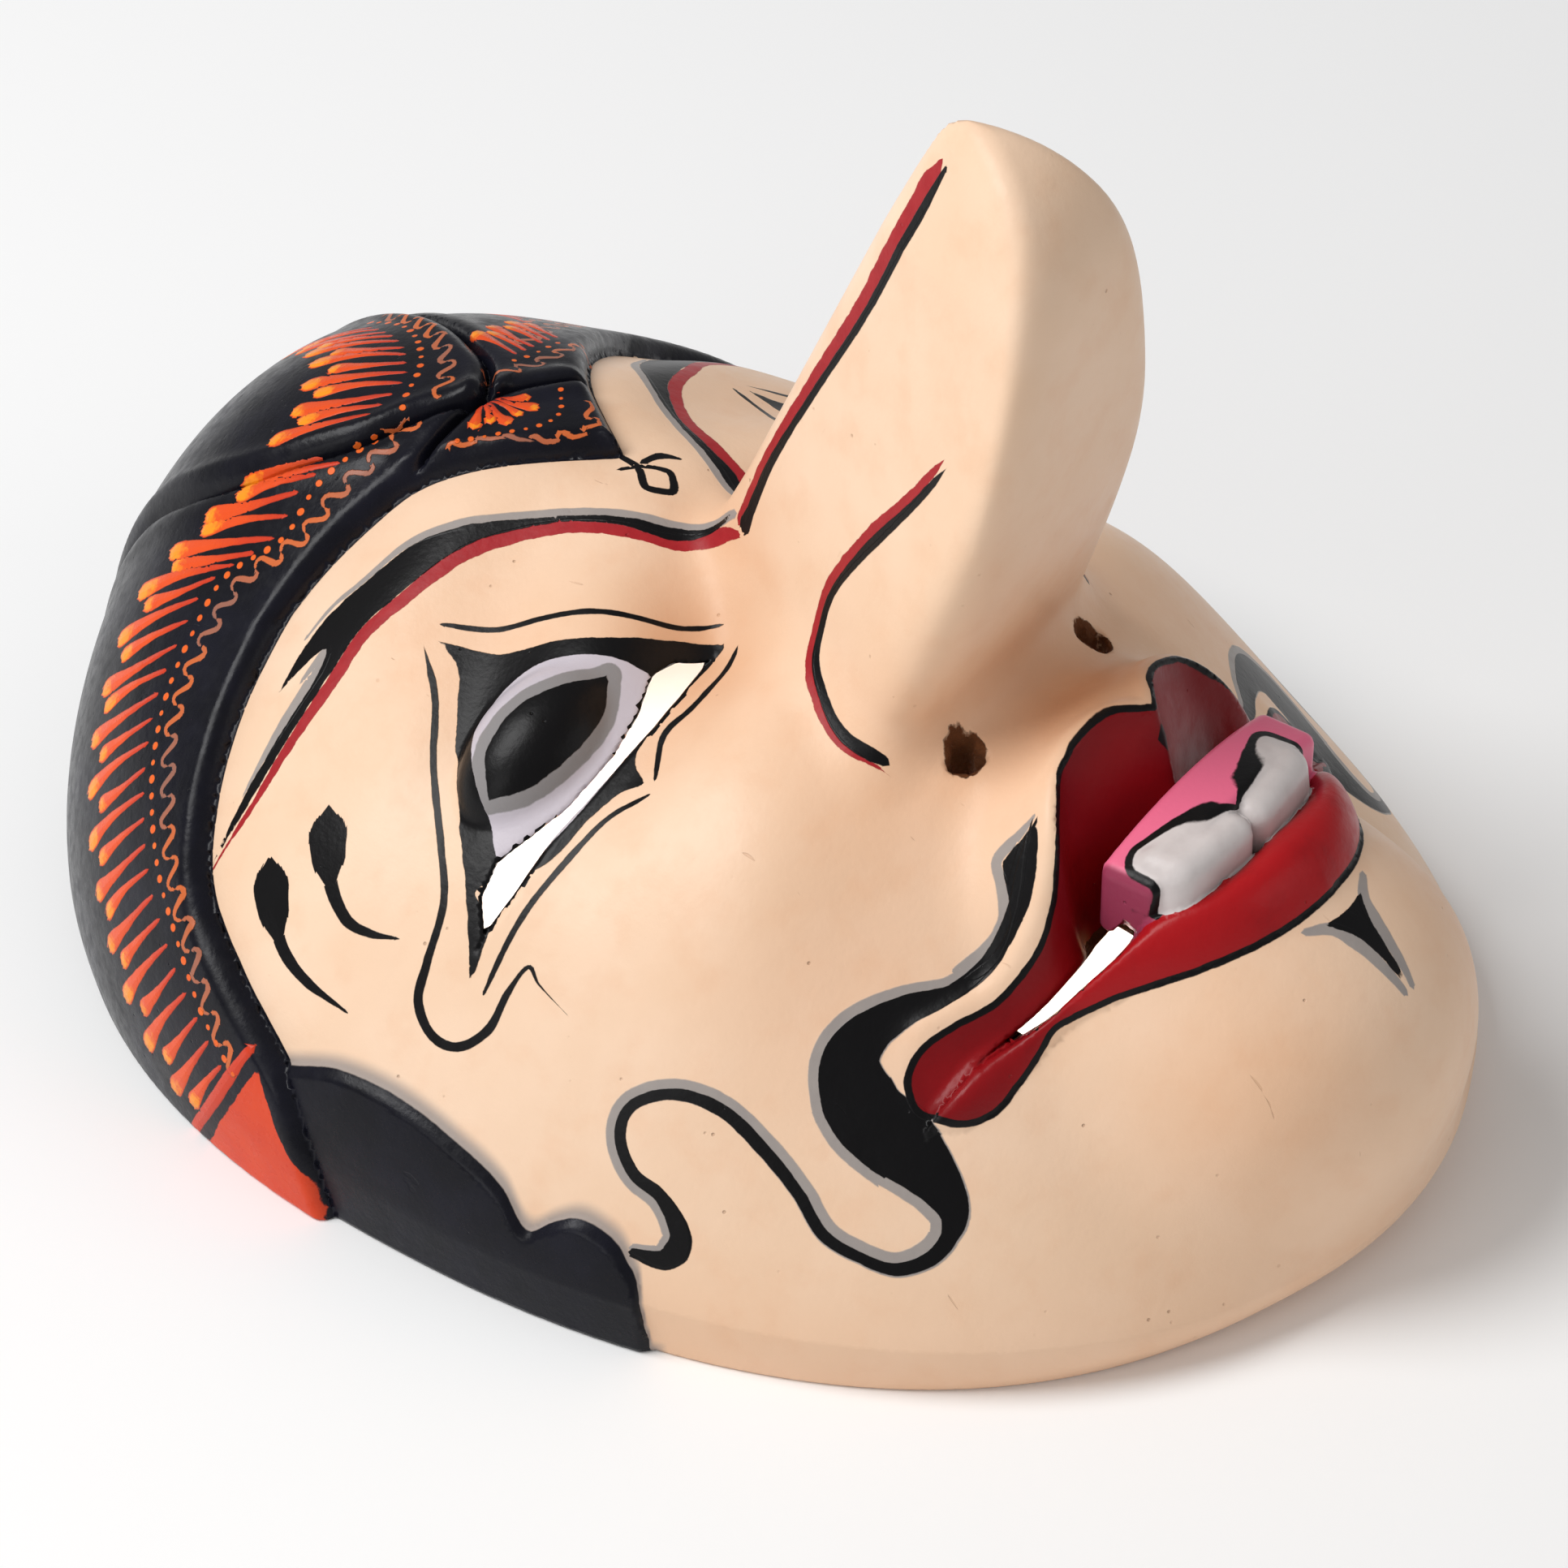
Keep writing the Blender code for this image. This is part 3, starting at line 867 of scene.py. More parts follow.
EYE_TOP = ((-14, 0.5, 63), (-18, 5, 64), (-22, 8, 66), (-26, 12, 67), (-29, 18, 65), (-32, 24, 62), (-34, 33, 61))
EYE_OUTER = ((-34, 33, 61), (-36, 28, 60), (-44, 22.5, 56), (-50, 18, 53), (-56, 12, 48), (-60, 8, 43),
             (-65, 4.5, 38))
EYE_LOW = ((-65, 4.5, 38), (-59, 5.5, 44), (-57, 9, 47), (-51, 2.5, 50), (-43, 0.5, 55), (-34, 1, 59),
           (-24, 1, 62), (-14, 0.5, 63))
PATCHES: Tuple[Patch, ...] = (
    Patch(Fill.BLACK, (EYE_TOP, EYE_OUTER, EYE_LOW)),
    Patch(Fill.BLACK, (((-30, 1, 59), (-35, 0, 58), (-37.5, -3.5, 57)), ((-37.5, -3.5, 57), (-40, -1, 56),
                                                                        (-46, 1.5, 54), (-38, 3, 56), (-30, 1, 59)))),
    Patch(Fill.EYEBALL, (((-25.4, 4, 64), (-26.6, 8, 65), (-29, 13, 65), (-33, 18.6, 63), (-38, 21, 60),
                          (-43.4, 19.6, 58.6), (-48, 15.8, 57), (-51.6, 12, 54), (-53.6, 8.4, 50)),
                         ((-53.6, 8.4, 50), (-48, 3.4, 52), (-42, 2, 55), (-36, 1.6, 57), (-30, 2.4, 60),
                          (-25.4, 4, 64)))),
    Patch(Fill.LIPS, (((1.5, -56.4, 69), (-1.2, -54.4, 69.6), (-4, -52, 69.4), (-8, -50.8, 69), (-14, -51, 67),
                       (-18, -53, 64), (-22, -56, 60), (-25, -57.2, 54), (-28, -57, 49), (-33, -55, 44),
                       (-38, -52, 42), (-42, -50, 40), (-45.4, -50.2, 37), (-46.4, -53, 34), (-44, -57.4, 33),
                       (-40.6, -60.4, 34), (-35, -61.6, 38), (-31, -62.6, 42), (-26, -67.4, 46), (-18, -76, 50),
                       (-10, -80.6, 52), (1.5, -82.6, 53)), ((1.5, -82.6, 53), (1.5, -56.4, 69)))),
    Patch(Fill.PUPIL, (((-29.5, 8, 65), (-35, 11.5, 65), (-40, 14.3, 62), (-45, 14.6, 58), (-49.5, 12.3, 55)),
                       ((-49.5, 12.3, 55), (-46, 8, 57), (-40, 5.4, 60), (-34, 5.4, 62), (-29.5, 8, 65)))),
    Patch(Fill.BLACK, (((-5, 7, 76), (-6, 14, 72), (-9.6, 23, 71), (-13, 29.4, 70), (-17.6, 36.2, 69), (-21, 40.4, 68),
                        (-25.4, 44.8, 66), (-30.4, 47.6, 62), (-34.4, 49.8, 59), (-39, 51, 56), (-47, 51.6, 53)),
                       ((-47, 51.6, 53), (-42.6, 49.6, 56), (-40, 47.4, 57.5), (-43, 46, 55), (-48, 46.4, 51),
                        (-56, 47.6, 44), (-64, 48.8, 35)),
                       ((-64, 48.8, 35), (-58, 46.6, 43), (-51, 45.2, 49), (-43, 44.2, 56), (-37, 43.8, 60),
                        (-31, 41.4, 63), (-25, 39, 66), (-20, 35.8, 68), (-14, 29, 70), (-10.4, 21.6, 71),
                        (-8, 13.6, 72), (-5, 7, 76)))),
    Patch(Fill.BLACK, (((-4.2, -85, 52), (-1.7, -88.6, 50), (-0.3, -94.4, 45)),
                       ((-0.3, -94.4, 45), (0.3, -94.4, 45)),
                       ((0.3, -94.4, 45), (1.7, -88.6, 50), (4.2, -85, 52)),
                       ((4.2, -85, 52), (0, -85.6, 52), (-4.2, -85, 52))),
          mirrored=False),
    Patch(Fill.BLACK, (((-19.4, -51.7, 63.4), (-22, -50.6, 61), (-24.2, -49.2, 58)),
                       ((-24.2, -49.2, 58), (-25.6, -51, 56), (-27.6, -53, 53), (-30, -52.8, 50), (-34, -50.4, 46)),
                       ((-34, -50.4, 46), (-32, -52.4, 46.4), (-28.4, -54.3, 50.4), (-25.8, -55, 54.4),
                        (-23.4, -54.4, 58.5), (-21.4, -53.2, 61.2), (-19.4, -51.7, 63.4)))),
    Patch(Fill.BLOCK, (((-75, 29.6, 19), (-76.5, 25.4, 12), (-78, 20, 4), (-78.4, 18.4, -3)),
                       ((-78.4, 18.4, -3), (-78, 42, -3)), ((-78, 42, -3), (-77.4, 38.4, 4), (-75, 29.6, 19)))),
)

MOUSTACHE = ((-20, -51, 63), (-23, -52, 59), (-27, -53, 54), (-30, -52.5, 48), (-36, -50, 45), (-40.5, -46, 43),
             (-45, -43.5, 41), (-48.5, -43.5, 38), (-50.5, -47.5, 34), (-50, -53, 31), (-49.5, -58, 27),
             (-51, -61.5, 24), (-54, -61, 20), (-57.5, -57.5, 18), (-59.5, -53, 19), (-60.5, -48, 21),
             (-59.6, -43.5, 25), (-59.2, -38, 29), (-60, -32, 33), (-62, -26, 34), (-65, -21.5, 32),
             (-67, -21, 28), (-68, -24, 24), (-68, -28.5, 22), (-69, -32, 18), (-71, -31, 15), (-73, -26.5, 15))
MOUSTACHE_WIDTHS = ((0.0, 0.1), (0.05, 0.7), (0.12, 1.2), (0.17, 1.1), (0.24, 2.5), (0.31, 4.8), (0.36, 5.0),
                    (0.41, 3.0), (0.46, 1.1), (0.54, 0.7), (0.70, 0.9), (0.80, 0.7), (0.90, 0.9), (0.955, 1.7),
                    (1.0, 0.6))
GREY_WIDTHS = ((0.0, 0.2), (0.05, 0.8), (0.12, 1.2), (0.17, 1.6), (0.24, 3.3), (0.31, 5.5), (0.36, 5.7), (0.41, 3.8),
               (0.46, 2.0), (0.54, 1.5), (0.70, 1.5), (0.80, 1.3), (0.90, 1.4), (0.955, 2.0), (1.0, 0.6))
BRIDGE = ((-6.4, 5, 75), (-5.2, 1, 87), (-5, -6, 101), (-4.6, -14, 116), (-4.2, -19.5, 129), (-2.6, -24, 141))
WING = ((-15, -33, 107), (-15, -28, 99), (-14, -20, 87), (-14, -15.5, 78), (-17, -15, 71), (-21, -19, 68),
        (-24, -24.5, 66), (-24.5, -32, 65))
LINE = ((0.0, 0.15), (0.06, 0.38), (0.5, 0.46), (0.92, 0.38), (1.0, 0.15))
STROKES: Tuple[Stroke, ...] = (
    Stroke(Layer.BLACK, ((-32, 34, 62), (-29.6, 27, 63), (-26.6, 22, 65), (-23.4, 16, 67), (-20.4, 10.6, 67),
                         (-17, 6.6, 65), (-12.5, 2.6, 64)), LINE),
    Stroke(Layer.BLACK, ((-35.6, 34, 61), (-40.4, 28.4, 58), (-47.4, 23.4, 54), (-55, 16.6, 49), (-60, 12.6, 45),
                         (-65, 11.4, 39), (-68.4, 10.6, 35), (-70, 7, 32), (-69.4, 3, 32), (-67, 0, 35),
                         (-63.6, -0.6, 39), (-60.8, -1.8, 42), (-60.6, -4, 40), (-62, -8.4, 39)),
           ((0.0, 0.0), (0.05, 0.45), (0.5, 0.55), (0.62, 0.7), (0.8, 0.6), (1.0, 0.0))),
    Stroke(Layer.BLACK, ((-14, -1.6, 63), (-25, -2, 62), (-31, -1.4, 60), (-37, -4.6, 58)), LINE),
    Stroke(Layer.BLACK, ((-38.6, -5.4, 57), (-43, -1.8, 55), (-50, 0.2, 51), (-57, 2, 45), (-65, 2.4, 38)), LINE),
    Stroke(Layer.BLACK, MOUSTACHE, MOUSTACHE_WIDTHS),
    Stroke(Layer.GREY, MOUSTACHE, GREY_WIDTHS, shift=-0.6),
    Stroke(Layer.GREY, ((-5, 6.4, 76), (-5.8, 14, 72), (-9.4, 23, 71), (-12.8, 29.6, 70), (-17.4, 36.4, 69),
                        (-20.8, 40.8, 68), (-25.2, 45.4, 66), (-30.4, 48.2, 62), (-34.4, 50.6, 59), (-39, 51.8, 56)),
           ((0.0, 0.6), (0.2, 1.0), (0.6, 0.8), (1.0, 0.2)), tone=0.4),
    Stroke(Layer.GREY, ((-45, 48.6, 55), (-40.6, 47.4, 57.5), (-42.6, 46.4, 55), (-49, 47, 50), (-57, 48, 43)),
           ((0.0, 0.3), (0.3, 1.1), (0.6, 0.9), (1.0, 0.1))),
    Stroke(Layer.GREY, ((-19.3, -51.2, 63.4), (-21.8, -49.9, 61), (-24.2, -48.4, 58), (-26, -50.4, 56),
                        (-28, -52.2, 53), (-30.4, -51.8, 50), (-34.4, -49.2, 46.6)),
           ((0.0, 0.2), (0.2, 0.8), (0.8, 0.9), (1.0, 0.6))),
    Stroke(Layer.RED, ((-6.4, 5, 74), (-8.2, 13.2, 72), (-10.8, 20.8, 71), (-14.2, 28, 70), (-20.2, 34.8, 68),
                       (-25.2, 38, 66), (-31.2, 40.4, 63), (-37.2, 42.8, 60), (-43.2, 43.2, 56), (-51.2, 44.4, 49),
                       (-58, 45.8, 43), (-64, 48.4, 35)),
           ((0.0, 0.5), (0.05, 1.2), (0.3, 1.1), (0.7, 1.0), (1.0, 0.1)), tone=0.4),
    Stroke(Layer.BLACK, BRIDGE, ((0.0, 1.4), (0.05, 0.9), (0.3, 0.55), (0.6, 0.55), (0.9, 0.75), (1.0, 0.3)),
           shift=-0.5),
    Stroke(Layer.RED, BRIDGE, ((0.0, 0.8), (0.1, 0.9), (0.5, 1.0), (0.8, 1.35), (0.95, 1.6), (1.0, 0.2)),
           shift=0.7, tone=0.5),
    Stroke(Layer.BLACK, WING, ((0.0, 0.0), (0.05, 0.5), (0.3, 0.8), (0.5, 0.6), (0.8, 0.7), (0.95, 0.9), (1.0, 0.5)),
           shift=0.35),
    Stroke(Layer.RED, WING, ((0.0, 0.0), (0.05, 0.6), (0.3, 1.1), (0.6, 0.8), (0.9, 0.5), (1.0, 0.0)), shift=-0.7),
    Stroke(Layer.BLACK, ((-56, 33.6, 46), (-59.4, 31.5, 44), (-62.6, 28.5, 41), (-64.6, 24.5, 39), (-64.9, 20.5, 39),
                         (-64.5, 16.4, 40)),
           ((0.0, 2.6), (0.12, 3.0), (0.26, 2.6), (0.38, 1.1), (0.7, 0.75), (1.0, 0.15))),
    Stroke(Layer.BLACK, ((-62, 39, 39), (-65, 36.5, 36), (-68.4, 33, 33), (-70, 28, 31), (-71, 20, 30)),
           ((0.0, 2.6), (0.12, 3.0), (0.26, 2.6), (0.38, 1.1), (0.7, 0.75), (1.0, 0.15))),
    Stroke(Layer.GREY, ((-7.2, -83.4, 52), (-3, -87.2, 51), (-0.8, -96.4, 44)), ((0.0, 0.5), (0.4, 1.2), (1.0, 0.5))),
    Stroke(Layer.BLACK, ((0, 28.6, 75), (-0.6, 25, 76), (-3, 21.6, 76), (-1.2, 18.6, 75), (1.4, 21, 75),
                         (0.2, 24.6, 76), (-2.4, 27, 75)), ((0.0, 0.5), (0.5, 0.6), (1.0, 0.3)), mirrored=False),
    Stroke(Layer.BLACK, ((0.6, 25.4, 76), (3.4, 24.4, 75), (5, 21.6, 75)), ((0.0, 0.5), (0.5, 0.7), (1.0, 0.2)),
           mirrored=False),
)


@dataclass(frozen=True)
class ScarfPattern:
    """The drops, dots and vine painted along the folds of the headscarf."""

    drops: int = 28
    tail: Tuple[Point, ...] = ((-19, 59, 70), (-24, 63.6, 67), (-31, 63.6, 62), (-37, 70.4, 56), (-44, 71, 51),
                               (-50, 69.6, 45), (-55, 66.4, 40), (-60, 62.6, 36), (-65, 57.6, 31), (-71, 49, 25),
                               (-74, 42, 20), (-76, 35, 15))
    bulb: Tuple[Point, ...] = ((-24, 72, 63), (-28, 76.6, 59), (-32, 81, 53), (-37, 84, 46), (-43, 84, 40),
                               (-49, 82, 33), (-56, 77, 28), (-62, 71.6, 22), (-68, 65, 16), (-72, 57, 10),
                               (-75, 50.5, 5.4), (-77, 43, 2))
    dots: Tuple[Point, ...] = ((-16, 57.4, 72), (-23, 61.4, 67), (-30, 61.8, 62), (-36, 68, 57), (-43, 68.8, 52),
                               (-49, 67.8, 46), (-54, 65, 41), (-59, 61.4, 37), (-65, 55.4, 32), (-70, 48, 27),
                               (-73.5, 41, 21), (-75.6, 34, 16))
    vine: Tuple[Point, ...] = ((-11, 53.6, 73), (-18, 55.6, 71), (-24, 58, 68), (-30, 59.4, 63), (-36, 64.6, 58),
                               (-42, 65.6, 53), (-48, 65.2, 48), (-53, 62.8, 43), (-58, 59.6, 40), (-63, 55.6, 36),
                               (-68, 49.6, 31), (-71.6, 43.6, 26), (-74, 37.6, 20), (-75.6, 32.6, 16))

    def drop(self, tail: Array, bulb: Array, size: float, tone: float, lean: float) -> Stroke:
        """One teardrop from its thin tail to its round bulb.

        Args:
            tail: the thin end.
            bulb: the round end.
            size: how large it is.
            tone: its share of the lighter colour.
            lean: how far its middle bends aside.

        Returns:
            The stroke.
        """
        middle = tail * 0.5 + bulb * 0.5 + np.array([lean, lean * 0.5, 0.0])
        widths = ((0.0, 0.25), (0.1, 0.36), (0.4, 0.62 * size), (0.66, 1.0 * size), (0.86, 1.42 * size),
                  (1.0, 1.45 * size))
        return Stroke(Layer.DROP, (tuple(tail), tuple(middle), tuple(bulb)), widths, False, 0.0, tone)

    def row(self, tail: Sequence[Point], bulb: Sequence[Point], count: int, size: float = 1.0,
            start: float = 0.0, end: float = 1.0) -> List[Stroke]:
        """A comb of drops between a line of tails and a line of bulbs.

        Args:
            tail: the line the tails start from.
            bulb: the line the bulbs end on.
            count: how many drops.
            size: how large the drops are.
            start: where along the lines the comb starts.
            end: where it ends.

        Returns:
            The strokes, alternately long and short.
        """
        a, b = smooth_path(tail, 0.2), smooth_path(bulb, 0.2)
        made = []
        for i in range(count):
            t = start + (end - start) * (i + 0.5) / count
            p, q = a[int(t * (len(a) - 1))], b[int(t * (len(b) - 1))]
            short = i % 2
            wave = math.sin(i * 2.4)
            tip = p + (q - p) * ((0.80 if short else 1.0) + 0.03 * wave)
            made.append(self.drop(p, tip, size * (0.86 if short else 1.0), 0.5 + 0.22 * wave, 0.4 * wave))
        return made

    def spots(self, line: Sequence[Point], gap: float, size: float) -> List[Stroke]:
        """A row of dots.

        Args:
            line: the line to follow.
            gap: the step along it.
            size: radius of a dot.

        Returns:
            The dots.
        """
        path = smooth_path(line, gap)
        run = path[1] - path[0]
        run = run / max(np.linalg.norm(run), 1e-6)
        made = []
        for i, p in enumerate(path):
            made.append(Stroke(Layer.DOT, (tuple(p), tuple(p + run)), ((0.0, size * (1.0 + 0.2 * math.sin(i * 2.3))),
                                                                       (1.0, size)), False))
        return made

    def curls(self, line: Sequence[Point], gap: float, swing: float, size: float) -> List[Stroke]:
        """A vine of separate S-shaped curls.

        Args:
            line: the middle of the vine.
            gap: the length of one curl.
            swing: how far a curl swings to each side.
            size: half-width of the brush.

        Returns:
            The strokes.
        """
        path = smooth_path(line, 0.25)
        ahead = np.gradient(path, axis=0)
        ahead /= np.maximum(np.linalg.norm(ahead, axis=1), 1e-6)[:, None]
        out = path - np.array([0.0, 8.0, 0.0])
        out /= np.linalg.norm(out, axis=1)[:, None]
        side = np.cross(out, ahead)
        every = max(4, int(round(gap / 0.25)))
        made = []
        for k, first in enumerate(range(0, len(path) - every, every)):
            at = [first + int(every * s) for s in (-0.04, 0.06, 0.3, 0.7, 0.94, 1.04)]
            off = [s * swing for s in (0.1, 0.95, 0.95, -0.95, -0.95, -0.1)]
            points = [tuple(path[min(i, len(path) - 1)] + side[min(i, len(path) - 1)] * o) for i, o in zip(at, off)]
            made.append(Stroke(Layer.VINE, tuple(points), ((0.0, size * 0.5), (0.3, size), (0.7, size * 0.8),
                                                           (1.0, size * 0.4)), False, 0.0, 0.5 + 0.3 * math.sin(k)))
        return made

    def strokes(self) -> List[Stroke]:
        """Every stroke of the pattern on both halves.

        Returns:
            The strokes.
        """
        made: List[Stroke] = []
        for mirror in (tuple, flip):
            made += self.row(mirror(self.tail), mirror(self.bulb), self.drops)
            made += self.spots(mirror(self.dots), 2.3, 0.5)
            made += self.curls(mirror(self.vine), 4.3, 1.15, 0.45)
        cap_tail = ((-14, 60, 71), (-9, 60, 73), (-5, 61, 74), (0, 65, 74), (4, 71, 73), (7, 78, 71))
        cap_bulb = ((-20, 72, 65), (-15, 73, 68), (-10, 75, 69), (-4, 78, 69), (0, 84, 66), (3, 91, 61))
        made += self.row(cap_tail, cap_bulb, 13)
        made += self.spots(((-10, 57, 73), (-7, 58.5, 74), (-2, 60.6, 74), (3, 65, 73), (7, 71, 71), (9, 79, 69)),
                           2.2, 0.46)
        made += self.curls(((-6, 53.4, 74), (-2, 56, 74), (2, 59, 73), (6, 64.6, 72), (9, 71, 71), (11, 79, 68)),
                           4.0, 1.0, 0.42)
        made += self.row(((7, 52, 75), (12, 52, 74), (18, 52.4, 72)), ((9, 61, 73), (14, 62, 72), (22, 62, 69)),
                         6, 0.85)
        made += self.spots(((6, 51, 75), (10, 50.4, 74), (15, 50.6, 73)), 2.1, 0.36)
        made += self.curls(((1, 50.4, 75), (7, 48.4, 75), (14, 48, 74), (22, 48.6, 71)), 3.8, 0.9, 0.4)
        made += self.row(((-5, 48, 75), (-4.4, 47.6, 75), (-3.6, 47.2, 75), (-2.6, 46.8, 75)),
                         ((-10, 46.8, 74), (-7.6, 43.4, 75), (-4.4, 41, 76), (-0.6, 41.4, 76), (1.4, 43.6, 75)),
                         6, 0.7)
        made += self.spots(((-12, 46.4, 74), (-8.8, 42.4, 75), (-5, 38.8, 75), (-1, 38, 76), (3.4, 41, 75)),
                           1.9, 0.36)
        made += self.curls(((-13.6, 46.6, 74), (-10, 41.6, 76), (-5.8, 36.4, 75), (-1, 32.4, 76), (2.6, 35.6, 76),
                            (5, 39.6, 76)), 3.7, 0.85, 0.4)
        for mirror in (tuple, flip):
            made.append(Stroke(Layer.DROP, mirror(((-74.4, 31.4, 21), (-76, 37, 11), (-77, 44, 0))),
                               ((0.0, 0.6), (0.3, 1.0), (1.0, 0.9)), False, 0.0, -2.5))
        return made


@dataclass
class Brush:
    """Lays strokes and patches over a settled mesh."""

    mask: CarvedMask
    step: float = 0.35
    margin: float = 2.2

    def lay_out(self, stroke: Stroke, mirror: bool) -> Tuple[Array, Array, Array, Array, Array]:
        """Sample one stroke.

        Args:
            stroke: the brush line.
            mirror: whether it is drawn on the other half.

        Returns:
            Places, directions, half-widths, how fast they change, and tones.
        """
        points = flip(stroke.points) if mirror else stroke.points
        path = smooth_path(points, self.step)
        path, _ = self.mask.settle(path, 4, 3.0)
        if stroke.layer is Layer.DOT:
            ahead = (path[1:2] - path[:1]) / max(np.linalg.norm(path[1] - path[0]), 1e-6)
            return path[:1], ahead, np.full(1, stroke.widths[0][1]), np.zeros(1), np.full(1, stroke.tone)
        run = np.linspace(0.0, 1.0, len(path))
        width = np.clip(np.interp(run, *zip(*stroke.widths)), 0.0, None)
        length = self.step * (len(path) - 1)
        for end in (run * length, (1.0 - run) * length):
            cap = np.clip(end / np.maximum(width, 0.2), 0.0, 1.0)
            width = width * np.sqrt(np.clip(1.0 - (1.0 - cap) ** 2, 0.0, 1.0))
        ahead = np.gradient(path, axis=0)
        ahead /= np.maximum(np.linalg.norm(ahead, axis=1), 1e-6)[:, None]
        if stroke.shift:
            _, out = self.mask.settle(path, 1)
            side = np.cross(out, ahead) * (-1.0 if mirror else 1.0)
            path, _ = self.mask.settle(path + side * stroke.shift, 2)
        flat_tone = np.full(len(path), stroke.tone)
        tone = run + 0.25 * (stroke.tone - 0.5) if stroke.layer is Layer.DROP else flat_tone
        return path, ahead, width, np.gradient(width, self.step), tone

    def layer(self, strokes: Sequence[Stroke], centres: Array, corners: Array, faces: Array) -> Array:
        """Paint one layer on the corners of the faces.

        Args:
            strokes: the strokes of the layer.
            centres: face middles.
            corners: (faces, 4, 3) corner places.
            faces: outward directions of the faces.

        Returns:
            A (faces, 4, 3) array of offset from the middle line, half-width and tone.
        """
        value = np.zeros(corners.shape)
        value[..., 1] = -5.0 if not strokes or strokes[0].layer is not Layer.DOT else 9.0
        if not strokes:
            return value
        laid = [self.lay_out(s, m) for s in strokes for m in ((False, True) if s.mirrored else (False,))]
        place, ahead, width, change, tone = (np.concatenate([part[k] for part in laid]) for k in range(5))
        cell = float(width.max()) + self.margin
        low = centres.min(0) - cell * 2
        span = 4096
        key = ((np.floor((centres - low) / cell)).astype(np.int64) * np.array([span * span, span, 1])).sum(1)
        order = np.argsort(key, kind="stable")
        sorted_key = key[order]
        base = np.floor((place - low) / cell).astype(np.int64)
        best, who = np.full(len(centres), -self.margin), np.full(len(centres), -1)
        for dx in (-1, 0, 1):
            for dy in (-1, 0, 1):
                for dz in (-1, 0, 1):
                    want = ((base + (dx, dy, dz)) * np.array([span * span, span, 1])).sum(1)
                    first = np.searchsorted(sorted_key, want, "left")
                    last = np.searchsorted(sorted_key, want, "right")
                    count = last - first
                    total = int(count.sum())
                    if not total:
                        continue
                    sample = np.repeat(np.arange(len(place)), count)
                    offset = np.arange(total) - np.repeat(np.cumsum(count) - count, count) + np.repeat(first, count)
                    face = order[offset]
                    score = width[sample] - np.linalg.norm(centres[face] - place[sample], axis=1)
                    keep = score > best[face]
                    face, sample, score = face[keep], sample[keep], score[keep]
                    rank = np.argsort(score, kind="stable")
                    face, sample, score = face[rank], sample[rank], score[rank]
                    best[face] = score
                    who[face] = sample
        hit = np.flatnonzero(who >= 0)
        s = who[hit]
        side = np.cross(faces[hit], ahead[s])
        side /= np.maximum(np.linalg.norm(side, axis=1), 1e-6)[:, None]
        local = corners[hit] - place[s][:, None, :]
        along = (local * ahead[s][:, None, :]).sum(-1)
        value[hit, :, 0] = (local * side[:, None, :]).sum(-1)
        value[hit, :, 1] = width[s][:, None] + np.clip(change[s][:, None] * along, -3.0, 0.6)
        value[hit, :, 2] = tone[s][:, None]
        if strokes[0].layer is Layer.DOT:
            value[hit, :, 1], value[hit, :, 2] = along, width[s][:, None]
        return value

    def patch(self, runs: Sequence[Sequence[Point]], verts: Array, outward: Array, value: Array) -> None:
        """Fill one outline, keeping the larger of the old and new distance inside.

        Args:
            runs: the smooth runs of the outline.
            verts: places on the mesh.
            outward: their outward directions.
            value: distances inside, changed in place.
        """
        edge = np.vstack([smooth_path(r, 0.4)[:-1] for r in runs])
        edge, out = self.mask.settle(edge, 4, 3.0)
        normal = out.mean(0)
        normal /= np.linalg.norm(normal)
        first = np.cross(normal, (0.0, 0.0, 1.0) if abs(normal[2]) < 0.9 else (1.0, 0.0, 0.0))
        first /= np.linalg.norm(first)
        second = np.cross(normal, first)
        low, high = edge.min(0) - 3.0, edge.max(0) + 3.0
        near = np.flatnonzero(((verts > low) & (verts < high)).all(1) & (outward @ normal > -0.1))
        flat, ring = verts[near] @ np.stack([first, second], 1), edge @ np.stack([first, second], 1)
        after = np.roll(ring, -1, 0)
        for start in range(0, len(near), 4000):
            q = flat[start:start + 4000]
            a, b = ring[None] - q[:, None], after[None] - q[:, None]
            cross = (a[..., 1] > 0) != (b[..., 1] > 0)
            drop = np.where(cross, b[..., 1] - a[..., 1], 1.0)
            at = a[..., 0] - a[..., 1] * (b[..., 0] - a[..., 0]) / drop
            inside = (cross & (at > 0)).sum(1) % 2 == 1
            run = b - a
            t = np.clip(-(a * run).sum(-1) / np.maximum((run * run).sum(-1), 1e-9), 0.0, 1.0)
            far = np.sqrt(((a + run * t[..., None]) ** 2).sum(-1)).min(1)
            ids = near[start:start + 4000]
            value[ids] = np.maximum(value[ids], np.where(inside, far, -far))


# ---- finishes ------------------------------------------------------------------------------------------
Colour = Tuple[float, float, float]


def paint_colour(red: int, green: int, blue: int) -> Tuple[float, float, float, float]:
    """Turn everyday 0 to 255 colour into the light-linear colour a shader takes.

    Args:
        red: 0 to 255.
        green: 0 to 255.
        blue: 0 to 255.

    Returns:
        Red, green, blue and 1.
    """
    def linear(v: float) -> float:
        """One channel."""
        return v / 12.92 if v <= 0.04045 else ((v + 0.055) / 1.055) ** 2.4
    return (linear(red / 255), linear(green / 255), linear(blue / 255), 1.0)


